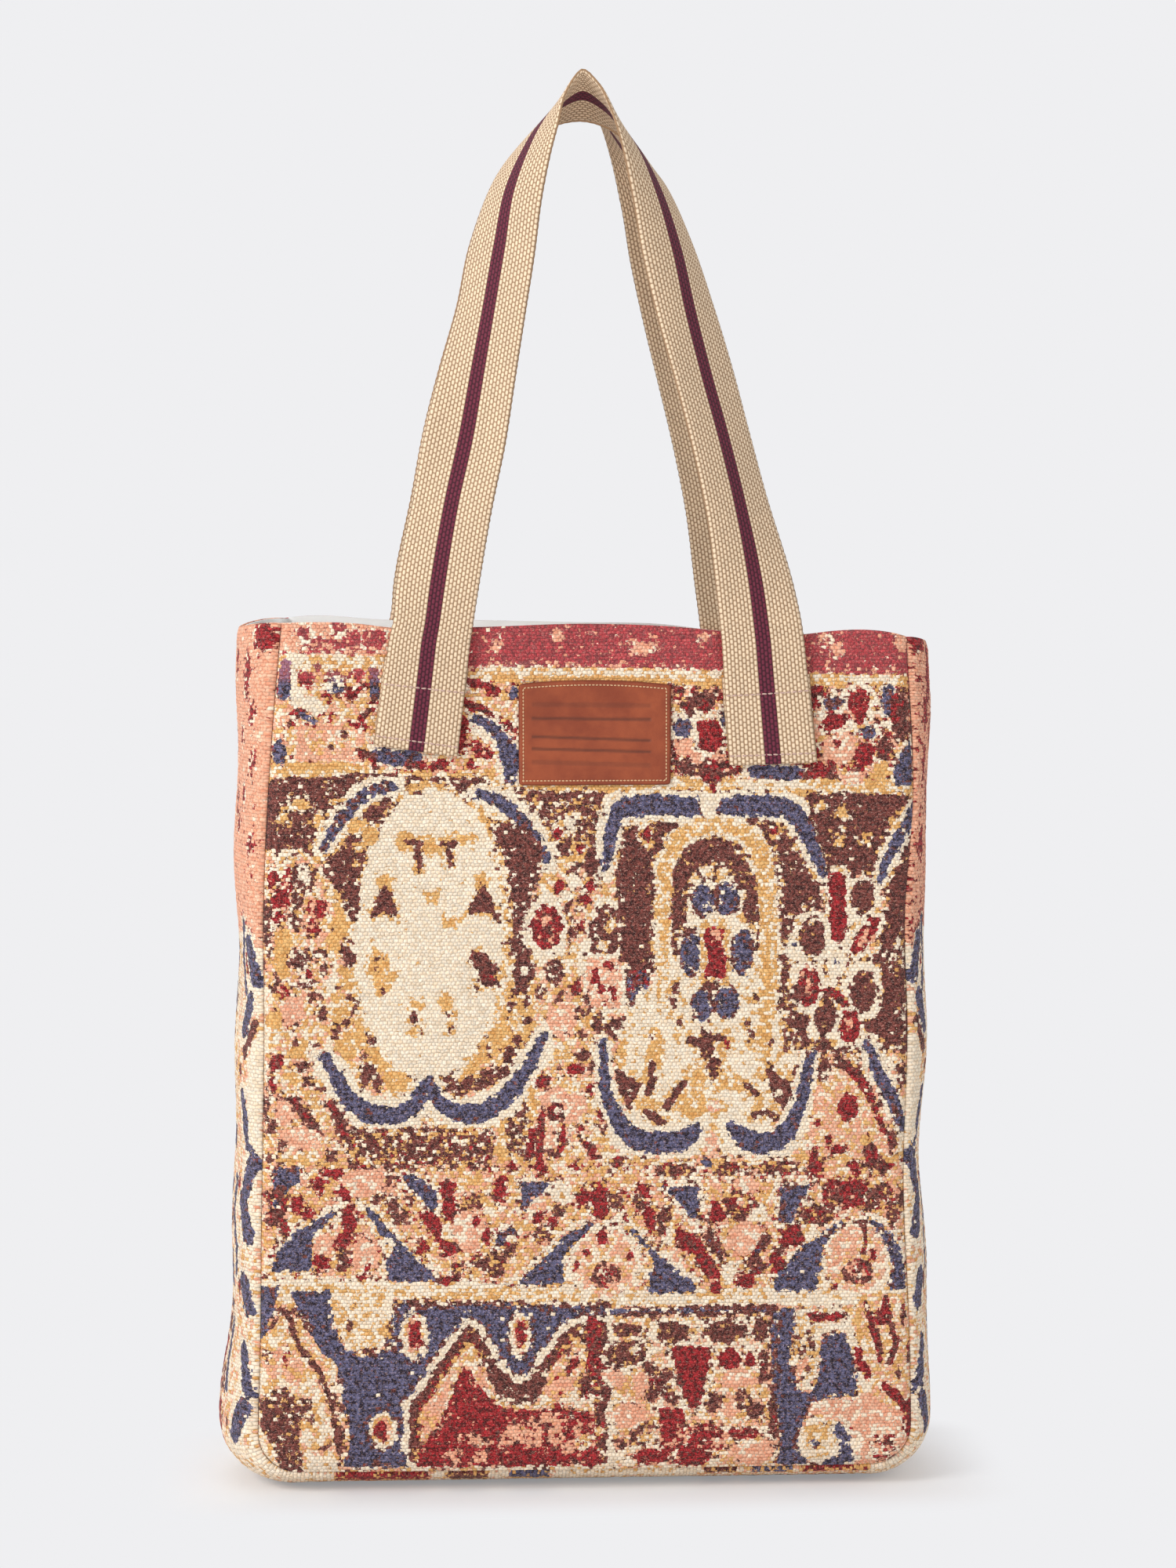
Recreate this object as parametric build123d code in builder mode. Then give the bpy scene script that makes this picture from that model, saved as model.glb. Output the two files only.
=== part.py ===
"""Tote bag of heavy woven cloth with a boxed bottom, two webbing handles and a leather patch.

All sizes are in millimetres. The bag stands on the floor at z = 0, its front faces -Y and
its handles stand up as they do when the bag hangs from one hook.
"""

import math
import os

from build123d import *

# Body
panel_width = 300.0
rim_height = 390.0
bag_depth = 98.0
gusset_bulge = 12.0
corner_radius = 30.0
cloth_thickness = 2.0
lining_thickness = 0.6

# Webbing handles
webbing_width = 37.0
webbing_thickness = 1.9
foot_spread = 79.0
foot_slant = 0.1
foot_bottom = 331.0
foot_fold_height = 40.0
turn_at_crown = 60
crown_tilt = 30.0
front_detail_shift = 3.0

# Leather patch
patch_width = 67.5
patch_height = 45.5
patch_thickness = 1.6
patch_centre_height = 341.0
patch_corner_radius = 1.5

# Thread
stitch_length = 2.0
stitch_pitch = 3.1
stitch_thickness = 0.5
patch_stitch_inset = 2.2
foot_rows = (4.0, 34.0)
foot_row_stitches = 11

half_panel = panel_width / 2
half_depth = bag_depth / 2
front_face = -half_depth
strap_plane = half_depth + 1.5 * webbing_thickness


def side_and_base_line(plane):
    """Draws the seam's course: down one side, round a corner, along the base and up again."""
    with BuildLine(plane) as course:
        FilletPolyline(
            (-half_panel, rim_height),
            (-half_panel, gusset_bulge),
            (half_panel, gusset_bulge),
            (half_panel, rim_height),
            radius=corner_radius,
        )
    return course


def panel_outline():
    """Draws the U-shaped cut of a panel: the seam's course closed by the straight rim."""
    with BuildLine() as outline:
        add(side_and_base_line(Plane.XY).line)
        Line((half_panel, rim_height), (-half_panel, rim_height))
    return outline.edges()


def gusset_section(outer_inset, inner_inset):
    """Draws a strip's tray-like section: its edges at the seams, its middle pushed outwards.

    The section lies in a plane whose x runs through the bag's depth and whose y points out
    of the bag. The insets are how far the strip's two faces lie inside the outer cloth.
    """
    flat_half = half_depth - gusset_bulge
    turn = 1 / math.sqrt(2)
    with BuildLine() as outline:
        for inset in (outer_inset, inner_inset):
            radius = gusset_bulge - inset
            ThreePointArc(
                (-flat_half - radius, 0),
                (-flat_half - radius * turn, radius * turn),
                (-flat_half, radius),
            )
            Line((-flat_half, radius), (flat_half, radius))
            ThreePointArc(
                (flat_half, radius),
                (flat_half + radius * turn, radius * turn),
                (flat_half + radius, 0),
            )
        for side in (-1, 1):
            Line(
                (side * (half_depth - inner_inset), 0),
                (side * (half_depth - outer_inset), 0),
            )
    return outline.edges()


def panel_plane(distance):
    """Gives the upright plane at a distance behind the bag's middle, with x right and y up."""
    return Plane.XZ.offset(-distance)


strip_course = side_and_base_line(Plane.XZ).wire()
strip_start = Plane(origin=(-half_panel, 0, rim_height), x_dir=(0, -1, 0), z_dir=(0, 0, -1))

# Side and base strip of the outer cloth
with BuildPart() as gusset:
    with BuildSketch(strip_start):
        make_face(gusset_section(0, cloth_thickness))
    sweep(path=strip_course)
gusset.part.label = "gusset"

# Side and base strip of the lining, against the outer strip
with BuildPart() as lining_gusset:
    with BuildSketch(strip_start):
        make_face(gusset_section(cloth_thickness, cloth_thickness + lining_thickness))
    sweep(path=strip_course)
lining_gusset.part.label = "lining_gusset"

# Outer panels, from their faces inwards
with BuildPart() as front_panel:
    with BuildSketch(panel_plane(-half_depth)):
        make_face(panel_outline())
    extrude(amount=-cloth_thickness)
front_panel.part.label = "front_panel"

with BuildPart() as back_panel:
    with BuildSketch(panel_plane(half_depth)):
        make_face(panel_outline())
    extrude(amount=cloth_thickness)
back_panel.part.label = "back_panel"

# Lining panels, against the outer panels
with BuildPart() as lining_front:
    with BuildSketch(panel_plane(-half_depth + cloth_thickness)):
        make_face(panel_outline())
    extrude(amount=-lining_thickness)
lining_front.part.label = "lining_front"

with BuildPart() as lining_back:
    with BuildSketch(panel_plane(half_depth - cloth_thickness)):
        make_face(panel_outline())
    extrude(amount=lining_thickness)
lining_back.part.label = "lining_back"

os.makedirs("parts", exist_ok=True)
for piece in (gusset, lining_gusset, front_panel, back_panel, lining_front, lining_back):
    export_step(piece.part, f"parts/{piece.part.label}.step")

# One leg of a handle from its foot to the top of the loop. Each station holds the distance
# from the loop's middle, how far the strap has leaned in from its plane at the rim, the
# height, and the angle by which its face has turned from the front towards the side.
leg_stations = (
    (foot_spread, 0.0, foot_bottom, 0),
    (foot_spread - foot_slant * (rim_height - foot_bottom), 0.0, rim_height, 0),
    (72.4, 0.2, 396.0, 3),
    (70.5, 2.0, 405.0, 14),
    (63.0, 8.0, 443.0, 30),
    (57.0, 12.5, 471.0, 32),
    (51.0, 17.0, 499.0, 36),
    (44.0, 21.5, 527.0, 41),
    (37.0, 26.0, 555.0, 47),
    (29.5, 29.5, 582.0, 60),
    (24.0, 31.0, 596.0, 66),
    (18.0, 32.0, 609.0, 73),
    (10.0, 32.5, 619.5, 80),
    (0.0, 32.5, 624.5, 90),
)


def strap_planes(side, middle):
    """Places the strap's sections along one handle, from its left foot to its right foot.

    Args:
        side: -1 for the front of the bag, 1 for the back.
        middle: where the loop's middle lies along X.
    """
    left_leg = [(-x, lean, height, turned) for x, lean, height, turned in leg_stations[:-1]]
    stations = left_leg + list(reversed(leg_stations))
    points = [
        Vector(middle + x, side * (strap_plane - lean), height) for x, lean, height, _ in stations
    ]
    directions = [after - before for before, after in zip(points, points[1:])]
    directions = [directions[0], directions[0]] + [
        before.normalized() + after.normalized()
        for before, after in zip(directions[1:-2], directions[2:-1])
    ] + [directions[-1], directions[-1]]
    planes = []
    for point, direction, (x, _, _, turned) in zip(points, directions, stations):
        along = direction.normalized()
        angle = math.radians(turned)
        tilt = math.radians(crown_tilt * max(0, turned - turn_at_crown) / (90 - turn_at_crown))
        reach = -1 if x < 0 else 1
        across = Vector(
            reach * math.cos(angle), -side * math.sin(angle) * math.cos(tilt), -math.sin(tilt)
        )
        if turned == 90:
            across = Vector(0, -side * math.cos(tilt), -math.sin(tilt))
        across = across - along * across.dot(along)
        planes.append(Plane(origin=point, x_dir=across.normalized(), z_dir=along))
    return planes


# Webbing handles: one strap each, with the ends folded under and sewn flat to the panel
for face_name, side, middle in (("front", -1, front_detail_shift), ("back", 1, 0.0)):
    planes = strap_planes(side, middle)
    with BuildPart() as handle:
        for plane in planes:
            with BuildSketch(plane):
                Rectangle(webbing_width, webbing_thickness)
        loft(ruled=True)
        for plane, fold_height in ((planes[0], foot_fold_height), (planes[-1], -foot_fold_height)):
            under = plane.origin - Vector(0, side * webbing_thickness, 0)
            with BuildSketch(Plane(origin=under, x_dir=plane.x_dir, z_dir=plane.z_dir)):
                Rectangle(webbing_width, webbing_thickness)
            extrude(amount=fold_height)
    handle.part.label = f"{face_name}_handle"
    export_step(handle.part, f"parts/{handle.part.label}.step")

# Two sewn rows of thread across each handle foot
for face_name, side, middle in (("front", -1, front_detail_shift), ("back", 1, 0.0)):
    thread_face = side * (half_depth + 2 * webbing_thickness)
    for leg_name, reach in (("left", -1), ("right", 1)):
        with BuildPart() as foot_stitching:
            with BuildSketch(panel_plane(thread_face)):
                for row_distance in foot_rows:
                    row_place = (
                        middle + reach * (foot_spread - foot_slant * row_distance),
                        foot_bottom + row_distance,
                    )
                    with Locations(Location(row_place, reach * math.degrees(foot_slant))):
                        with GridLocations(stitch_pitch, 0, foot_row_stitches, 1):
                            Rectangle(stitch_length, stitch_thickness)
            extrude(amount=-side * stitch_thickness)
        foot_stitching.part.label = f"{face_name}_{leg_name}_handle_stitching"
        export_step(foot_stitching.part, f"parts/{foot_stitching.part.label}.step")

# Leather patch on the front panel
patch_middle = front_detail_shift
with BuildPart() as leather_label:
    with BuildSketch(panel_plane(front_face)):
        with Locations((patch_middle, patch_centre_height)):
            RectangleRounded(patch_width, patch_height, patch_corner_radius)
    extrude(amount=patch_thickness)
leather_label.part.label = "leather_label"
export_step(leather_label.part, "parts/leather_label.step")

# Thread around the patch
row_width = patch_width - 2 * patch_stitch_inset
row_height = patch_height - 2 * patch_stitch_inset
across_count = int((row_width - stitch_length) / stitch_pitch)
upright_count = int((row_height - stitch_length) / stitch_pitch)
with BuildPart() as label_stitching:
    with BuildSketch(panel_plane(front_face - patch_thickness)):
        with Locations((patch_middle, patch_centre_height)):
            with GridLocations(stitch_pitch, row_height, across_count, 2):
                Rectangle(stitch_length, stitch_thickness)
            with GridLocations(row_width, stitch_pitch, 2, upright_count):
                Rectangle(stitch_thickness, stitch_length)
    extrude(amount=stitch_thickness)
label_stitching.part.label = "label_stitching"
export_step(label_stitching.part, "parts/label_stitching.step")
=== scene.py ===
"""The looks of a woven-cloth tote bag: printed panels, webbing handles, leather patch, lining.

Everything is built in millimetres in the bag's own frame, and turned into metres where a
mesh is made. The front faces -Y, +X is to the right and the floor is at z = 0.
"""

from __future__ import annotations

import logging
import math
from dataclasses import dataclass, field
from enum import Enum

import bpy
import numpy as np
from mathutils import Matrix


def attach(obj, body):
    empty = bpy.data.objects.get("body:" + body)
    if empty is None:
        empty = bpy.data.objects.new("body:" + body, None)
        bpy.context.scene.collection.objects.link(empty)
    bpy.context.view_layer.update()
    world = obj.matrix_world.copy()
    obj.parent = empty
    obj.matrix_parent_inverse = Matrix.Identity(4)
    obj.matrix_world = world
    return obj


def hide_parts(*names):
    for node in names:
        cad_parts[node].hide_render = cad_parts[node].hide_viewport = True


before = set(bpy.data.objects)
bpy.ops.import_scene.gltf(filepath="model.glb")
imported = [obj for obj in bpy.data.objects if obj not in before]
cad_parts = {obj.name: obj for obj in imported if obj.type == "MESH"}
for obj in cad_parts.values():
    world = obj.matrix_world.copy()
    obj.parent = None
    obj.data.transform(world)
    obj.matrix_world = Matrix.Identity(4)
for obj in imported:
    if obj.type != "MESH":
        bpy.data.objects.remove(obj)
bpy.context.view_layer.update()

MM = 0.001
PER_METRE = 1000.0
WAVE_COUNT = 7
WAVE_REACH = 3.2
Colour = tuple[float, float, float, float]
Curve = tuple[tuple[float, ...], tuple[float, ...]]
Socket = bpy.types.NodeSocket
log = logging.getLogger("tote_bag")


# Small helpers for numbers and curves


def linear(red: int, green: int, blue: int) -> Colour:
    """Turns an 8-bit display colour into the linear colour that a shader takes."""
    channels = []
    for value in (red, green, blue):
        share = value / 255
        channels.append(share / 12.92 if share <= 0.04045 else ((share + 0.055) / 1.055) ** 2.4)
    return (*channels, 1.0)


def curve_through(places: np.ndarray, knots: list[float], values: list[float]) -> np.ndarray:
    """Reads a smooth curve through a few given points.

    Args:
        places: where to read the curve.
        knots: rising places of the points.
        values: the curve's values there.

    Returns:
        The curve's values at the places, held level past both ends.
    """
    knot = np.asarray(knots, float)
    value = np.asarray(values, float)
    slope = np.gradient(value, knot)
    at = np.clip(np.asarray(places, float), knot[0], knot[-1])
    index = np.clip(np.searchsorted(knot, at, side="right") - 1, 0, len(knot) - 2)
    span = knot[index + 1] - knot[index]
    t = (at - knot[index]) / span
    return (
        value[index] * (1 + 2 * t) * (1 - t) ** 2
        + slope[index] * span * t * (1 - t) ** 2
        + value[index + 1] * t * t * (3 - 2 * t)
        + slope[index + 1] * span * t * t * (t - 1)
    )


def ease(share: np.ndarray) -> np.ndarray:
    """Gives a smooth step from 0 to 1 as the share goes from 0 to 1."""
    held = np.clip(share, 0.0, 1.0)
    return held * held * (3 - 2 * held)


def unit(vectors: np.ndarray) -> np.ndarray:
    """Scales each vector of an array to length 1."""
    return vectors / np.maximum(np.linalg.norm(vectors, axis=-1, keepdims=True), 1e-9)


def lengths_along(points: np.ndarray) -> np.ndarray:
    """Gives the distance along a run of points, from 0 at the first."""
    return np.concatenate([[0], np.cumsum(np.linalg.norm(np.diff(points, axis=0), axis=1))])


def grid_normals(points: np.ndarray) -> np.ndarray:
    """Gives a grid's normals, which point along its column direction crossed with its rows."""
    return unit(np.cross(np.gradient(points, axis=1), np.gradient(points, axis=0)))


def waves(x: np.ndarray, z: np.ndarray, reach: float, seed: int) -> np.ndarray:
    """Adds a few slanting waves into soft ones between about -1 and 1, the same for the same seed.

    Args:
        x: first coordinate.
        z: second coordinate.
        reach: distance from one crest to about the next.
        seed: which set of waves.

    Returns:
        The height of the waves at each point.
    """
    draw = np.random.default_rng(seed)
    total = np.zeros(np.broadcast_shapes(np.shape(x), np.shape(z)))
    for _ in range(WAVE_COUNT):
        heading = draw.uniform(0, math.pi)
        length = reach * draw.uniform(0.6, 1.7)
        phase = draw.uniform(0, 2 * math.pi)
        along = x * math.cos(heading) + z * math.sin(heading)
        total += np.sin(2 * math.pi * along / length + phase)
    return total / WAVE_REACH


# Meshes


def placed(name: str, data: bpy.types.ID) -> bpy.types.Object:
    """Makes an object of its data and puts it in the scene."""
    made = bpy.data.objects.new(name, data)
    bpy.context.scene.collection.objects.link(made)
    return made


def stands_for(piece: bpy.types.Object, node: str) -> None:
    """Says that a piece rides on the bag and which of its solids it takes the place of."""
    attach(piece, "root")
    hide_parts(node)


@dataclass
class Sheet:
    """A grid of points in millimetres with flat cloth coordinates, which becomes a thin shell."""

    points: np.ndarray
    flat: np.ndarray
    thickness: float
    relief: np.ndarray | None = None
    fields: dict[str, np.ndarray] = field(default_factory=dict)

    def build(self, name: str) -> bpy.types.Object:
        """Makes the closed shell: the outer face is the grid, the inner lies a thickness in."""
        rows, columns, _ = self.points.shape
        normals = grid_normals(self.points)
        lift = np.zeros((rows, columns)) if self.relief is None else self.relief
        outer = self.points + normals * lift[..., None]
        inner = self.points - normals * (self.thickness + lift)[..., None]
        corners = np.concatenate([outer.reshape(-1, 3), inner.reshape(-1, 3)]) * MM
        count = rows * columns
        index = np.arange(count).reshape(rows, columns)
        near = np.stack(
            [index[:-1, :-1], index[:-1, 1:], index[1:, 1:], index[1:, :-1]], axis=-1
        ).reshape(-1, 4)
        edge = np.concatenate(
            [index[0, :], index[1:, -1], index[-1, -2::-1], index[-2:0:-1, 0]]
        )
        following = np.roll(edge, -1)
        rim = np.stack([edge, edge + count, following + count, following], axis=-1)
        faces = np.concatenate([near, near[:, ::-1] + count, rim])
        mesh = bpy.data.meshes.new(name)
        mesh.vertices.add(len(corners))
        mesh.vertices.foreach_set("co", corners.astype(np.float32).ravel())
        mesh.loops.add(faces.size)
        mesh.loops.foreach_set("vertex_index", faces.astype(np.int32).ravel())
        mesh.polygons.add(len(faces))
        mesh.polygons.foreach_set("loop_start", np.arange(0, faces.size, 4, dtype=np.int32))
        mesh.update(calc_edges=True)
        mesh.polygons.foreach_set("use_smooth", np.ones(len(faces), dtype=bool))
        layer = mesh.uv_layers.new(name="flat")
        flat = np.concatenate([self.flat.reshape(-1, 2)] * 2) * MM
        layer.data.foreach_set("uv", flat[faces.ravel()].astype(np.float32).ravel())
        for label, values in self.fields.items():
            attribute = mesh.attributes.new(label, "FLOAT_VECTOR", "POINT")
            both = np.concatenate([values.reshape(-1, 3)] * 2)
            attribute.data.foreach_set("vector", both.astype(np.float32).ravel())
        mesh.validate()
        return placed(name, mesh)


# Shader graphs


class Graph:
    """A material's node tree, with short calls for the nodes that the finishes use."""

    FACTOR, FIRST_COLOUR, SECOND_COLOUR, MIXED_COLOUR = 0, 6, 7, 2

    def __init__(self, name: str) -> None:
        """Makes an empty material that holds only its shader and its output."""
        self.material = bpy.data.materials.new(name)
        self.material.use_nodes = True
        self.tree = self.material.node_tree
        self.tree.nodes.clear()
        self.shader = self.tree.nodes.new("ShaderNodeBsdfPrincipled")
        output = self.tree.nodes.new("ShaderNodeOutputMaterial")
        self.tree.links.new(self.shader.outputs["BSDF"], output.inputs["Surface"])

    def put(self, socket: Socket, value: object) -> None:
        """Links a socket to another one, or sets its value."""
        if isinstance(value, Socket):
            self.tree.links.new(value, socket)
        else:
            socket.default_value = value

    def node(self, kind: str, **settings: object) -> bpy.types.Node:
        """Adds a node and sets its properties."""
        made = self.tree.nodes.new(kind)
        for key, value in settings.items():
            setattr(made, key, value)
        return made

    def filled(self, kind: str, values: tuple[object, ...], **settings: object) -> Socket:
        """Adds a node, fills its inputs in order and returns its first output."""
        made = self.node(kind, **settings)
        for socket, value in zip(made.inputs, values):
            self.put(socket, value)
        return made.outputs[0]

    def math(self, operation: str, *values: object, clamp: bool = False) -> Socket:
        """Adds a number operation and returns its result."""
        return self.filled("ShaderNodeMath", values, operation=operation, use_clamp=clamp)

    def vector(self, operation: str, *values: object) -> Socket:
        """Adds a vector operation and returns its result."""
        return self.filled("ShaderNodeVectorMath", values, operation=operation)

    def scaled(self, colour: object, factor: object) -> Socket:
        """Makes a colour lighter or darker by a factor."""
        made = self.node("ShaderNodeVectorMath", operation="SCALE")
        self.put(made.inputs[0], colour)
        self.put(made.inputs["Scale"], factor)
        return made.outputs[0]

    def rounded(self, share: object) -> Socket:
        """Gives 1 in the middle of a thread and 0 at its sides, for a share from -0.5 to 0.5."""
        return self.math("COSINE", self.math("MULTIPLY", share, math.pi))

    def parts(self, value: Socket) -> list[Socket]:
        """Splits a vector into its three numbers."""
        made = self.node("ShaderNodeSeparateXYZ")
        self.put(made.inputs[0], value)
        return list(made.outputs)

    def joined(self, x: object, y: object, z: object = 0.0) -> Socket:
        """Makes a vector of three numbers."""
        return self.filled("ShaderNodeCombineXYZ", (x, y, z))

    def mix(self, share: object, first: object, second: object, how: str = "MIX") -> Socket:
        """Mixes two colours."""
        made = self.node("ShaderNodeMix", data_type="RGBA", blend_type=how)
        self.put(made.inputs[self.FACTOR], share)
        self.put(made.inputs[self.FIRST_COLOUR], first)
        self.put(made.inputs[self.SECOND_COLOUR], second)
        return made.outputs[self.MIXED_COLOUR]

    def flat_place(self) -> Socket:
        """Gives the place on the flat cloth, in millimetres."""
        made = self.node("ShaderNodeUVMap", uv_map="flat")
        return self.vector("MULTIPLY", made.outputs[0], (PER_METRE, PER_METRE, 0.0))

    def object_place(self) -> Socket:
        """Gives the place on the object, in millimetres."""
        made = self.node("ShaderNodeTexCoord")
        return self.vector("MULTIPLY", made.outputs["Object"], (PER_METRE,) * 3)

    def noise(
        self, place: object, reach: float, detail: float = 2.0, rough: float = 0.5
    ) -> bpy.types.Node:
        """Adds a noise whose blots are about as large as the reach, in millimetres."""
        made = self.node("ShaderNodeTexNoise")
        self.put(made.inputs["Vector"], place)
        made.inputs["Scale"].default_value = 1.0 / reach
        made.inputs["Detail"].default_value = detail
        made.inputs["Roughness"].default_value = rough
        return made

    def between(
        self, value: object, low: float, high: float, to: tuple[float, float] = (0.0, 1.0)
    ) -> Socket:
        """Maps a range of a number to another range, smoothly and held at both ends."""
        values = (value, low, high, *to)
        return self.filled("ShaderNodeMapRange", values, interpolation_type="SMOOTHSTEP")

    def chance(self, cell: object, dimensions: str = "3D") -> bpy.types.Node:
        """Gives each cell its own random number and colour."""
        made = self.node("ShaderNodeTexWhiteNoise", noise_dimensions=dimensions)
        self.put(made.inputs["Vector"], cell)
        return made

    def dress(
        self, colour: object, roughness: float, specular: float = 0.5, sheen: float = 0.0
    ) -> None:
        """Gives the shader its colour and its plain numbers."""
        self.put(self.shader.inputs["Base Color"], colour)
        self.shader.inputs["Roughness"].default_value = roughness
        self.shader.inputs["Specular IOR Level"].default_value = specular
        self.shader.inputs["Sheen Weight"].default_value = sheen

    def relief(self, height: object, depth_mm: float, strength: float = 1.0) -> None:
        """Bumps the surface by a height from 0 to 1 that stands for a depth."""
        made = self.node("ShaderNodeBump")
        made.inputs["Strength"].default_value = strength
        made.inputs["Distance"].default_value = depth_mm * MM
        self.put(made.inputs["Height"], height)
        self.put(self.shader.inputs["Normal"], made.outputs[0])


# Finishes


class Ink(Enum):
    """The six colours that the cloth is printed in, in the order of the print's fields."""

    CREAM = 0
    MUSTARD = 1
    SALMON = 2
    CRIMSON = 3
    BROWN = 4
    BLUE = 5


@dataclass(frozen=True)
class WeaveCells:
    """The brick-set cells of a plain weave: the place in a cell, and its row and column."""

    across: Socket
    along: Socket
    column: Socket
    row: Socket


def weave_cells(
    graph: Graph, across: object, along: object, width: float, height: float
) -> WeaveCells:
    """Cuts flat cloth into cells, every second row shifted by half a cell.

    Args:
        graph: the material's graph.
        across: the place along the rows, in millimetres.
        along: the place up through the rows, in millimetres.
        width: a cell's width in millimetres.
        height: a row's height in millimetres.

    Returns:
        The place in the cell from -0.5 to 0.5 both ways, and the cell's own numbers.
    """
    rows = graph.math("DIVIDE", along, height)
    row = graph.math("FLOOR", rows)
    columns = graph.math("DIVIDE", across, width)
    shifted = graph.math("MULTIPLY_ADD", graph.math("FLOORED_MODULO", row, 2.0), 0.5, columns)
    column = graph.math("FLOOR", shifted)
    return WeaveCells(
        across=graph.math("SUBTRACT", graph.math("SUBTRACT", shifted, column), 0.5),
        along=graph.math("SUBTRACT", graph.math("SUBTRACT", rows, row), 0.5),
        column=column,
        row=row,
    )


@dataclass(frozen=True)
class PrintedCloth:
    """Coarse cotton in a brick-set weave, printed in six colours with ragged, flecked edges."""

    name: str = "printed_cloth"
    cell_width: float = 1.95
    cell_height: float = 1.6
    slub_reach: float = 9.0
    slub_bend: tuple[float, float, float] = (1.5, 1.1, 0.0)
    kink_reach: float = 2.6
    kink_bend: tuple[float, float, float] = (1.1, 1.3, 0.0)
    thread_scatter: float = 2.0
    blot_scatter: float = 6.0
    blot_reach: float = 3.0
    worn_share: float = 0.005
    worn_lift: float = 5.0
    edge_sharpness: float = 5.0
    tone_reach: float = 2.2
    fibre_stretch: tuple[float, float, float] = (1.0, 2.2, 1.0)
    fibre_reach: float = 0.55
    speck_reach: float = 1.5
    fleck_strength: float = 0.75
    fleck_tint: Colour = (0.34, 0.22, 0.18, 1.0)
    fade_starts: tuple[float, float] = (362.0, 368.0)
    fade_ends: tuple[float, float] = (396.0, 398.0)
    fade_strength: float = 0.28
    valley_shade: float = 0.66
    bump_depth: float = 0.55

    def tones(self) -> list[tuple[Colour, Colour, float]]:
        """Gives each ink's usual tone, its deep tone and how dark it counts, in their order."""
        return [
            (linear(255, 240, 218), linear(248, 222, 190), 0.0),
            (linear(246, 196, 128), linear(222, 158, 88), 0.15),
            (linear(252, 196, 164), linear(240, 160, 126), 0.1),
            (linear(182, 38, 46), linear(82, 8, 14), 0.8),
            (linear(134, 68, 60), linear(56, 20, 20), 1.0),
            (linear(104, 104, 138), linear(26, 20, 38), 1.0),
        ]

    def material(self) -> bpy.types.Material:
        """Builds the material. It reads the print's fields and the flat cloth's coordinates."""
        graph = Graph(self.name)
        place = graph.flat_place()
        slub = graph.noise(place, self.slub_reach).outputs["Color"]
        bent = graph.vector("MULTIPLY_ADD", slub, self.slub_bend, place)
        kink = graph.noise(place, self.kink_reach, 1.0).outputs["Color"]
        bent = graph.vector("MULTIPLY_ADD", kink, self.kink_bend, bent)
        across, along, _ = graph.parts(bent)
        cells = weave_cells(graph, across, along, self.cell_width, self.cell_height)
        cell = graph.joined(cells.column, cells.row)
        first = graph.chance(cell)
        second = graph.chance(graph.vector("ADD", cell, (17.0, 31.0, 5.0)))
        scores = []
        for label, chance, shift in (
            ("print_a", first.outputs["Color"], (0.0, 0.0, 0.0)),
            ("print_b", second.outputs["Color"], (140.0, 90.0, 0.0)),
        ):
            stored = graph.node("ShaderNodeAttribute", attribute_name=label).outputs["Vector"]
            blots = graph.noise(graph.vector("ADD", place, shift), self.blot_reach, 3.0, 0.7)
            reach = (self.blot_scatter,) * 3
            total = graph.vector("MULTIPLY_ADD", blots.outputs["Color"], reach, stored)
            reach = (self.thread_scatter,) * 3
            scores += graph.parts(graph.vector("MULTIPLY_ADD", chance, reach, total))
        worn = graph.math("LESS_THAN", second.outputs["Value"], self.worn_share)
        scores[0] = graph.math("MULTIPLY_ADD", worn, self.worn_lift, scores[0])
        colour, dark = self.choose(graph, place, scores)
        colour = self.fade(graph, place, colour, dark)
        self.weave(graph, place, cells, first.outputs["Value"], colour, dark)
        return graph.material

    def choose(self, graph: Graph, place: Socket, scores: list[Socket]) -> tuple[Socket, Socket]:
        """Picks the ink whose field stands highest at each point.

        Args:
            graph: the material's graph.
            place: the place on the flat cloth, in millimetres.
            scores: each ink's field with its scatter.

        Returns:
            The colour, and how dark the chosen ink is from 0 to 1.
        """
        tone = graph.between(graph.noise(place, self.tone_reach, 4.0, 0.8).outputs[0], 0.42, 0.58)
        (usual, deep, dark), *others = self.tones()
        colour = graph.mix(tone, usual, deep)
        best, *rest = scores
        for (usual, deep, depth), score in zip(others, rest):
            lead = graph.math("SUBTRACT", score, best)
            wins = graph.math("MULTIPLY_ADD", lead, self.edge_sharpness, 0.5, clamp=True)
            colour = graph.mix(wins, colour, graph.mix(tone, usual, deep))
            dark = graph.math("MULTIPLY_ADD", wins, graph.math("SUBTRACT", depth, dark), dark)
            best = graph.math("MAXIMUM", best, score)
        return colour, dark

    def fade(self, graph: Graph, place: Socket, colour: Socket, dark: Socket) -> Socket:
        """Bleaches the dark inks in a band under the rim, towards a worn pink."""
        height = graph.parts(place)[1]
        starts = graph.between(height, *self.fade_starts)
        ends = graph.between(height, *self.fade_ends, to=(1.0, 0.0))
        share = graph.math("MULTIPLY", graph.math("MULTIPLY", starts, ends), self.fade_strength)
        return graph.mix(graph.math("MULTIPLY", share, dark), colour, linear(240, 126, 132))

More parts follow.
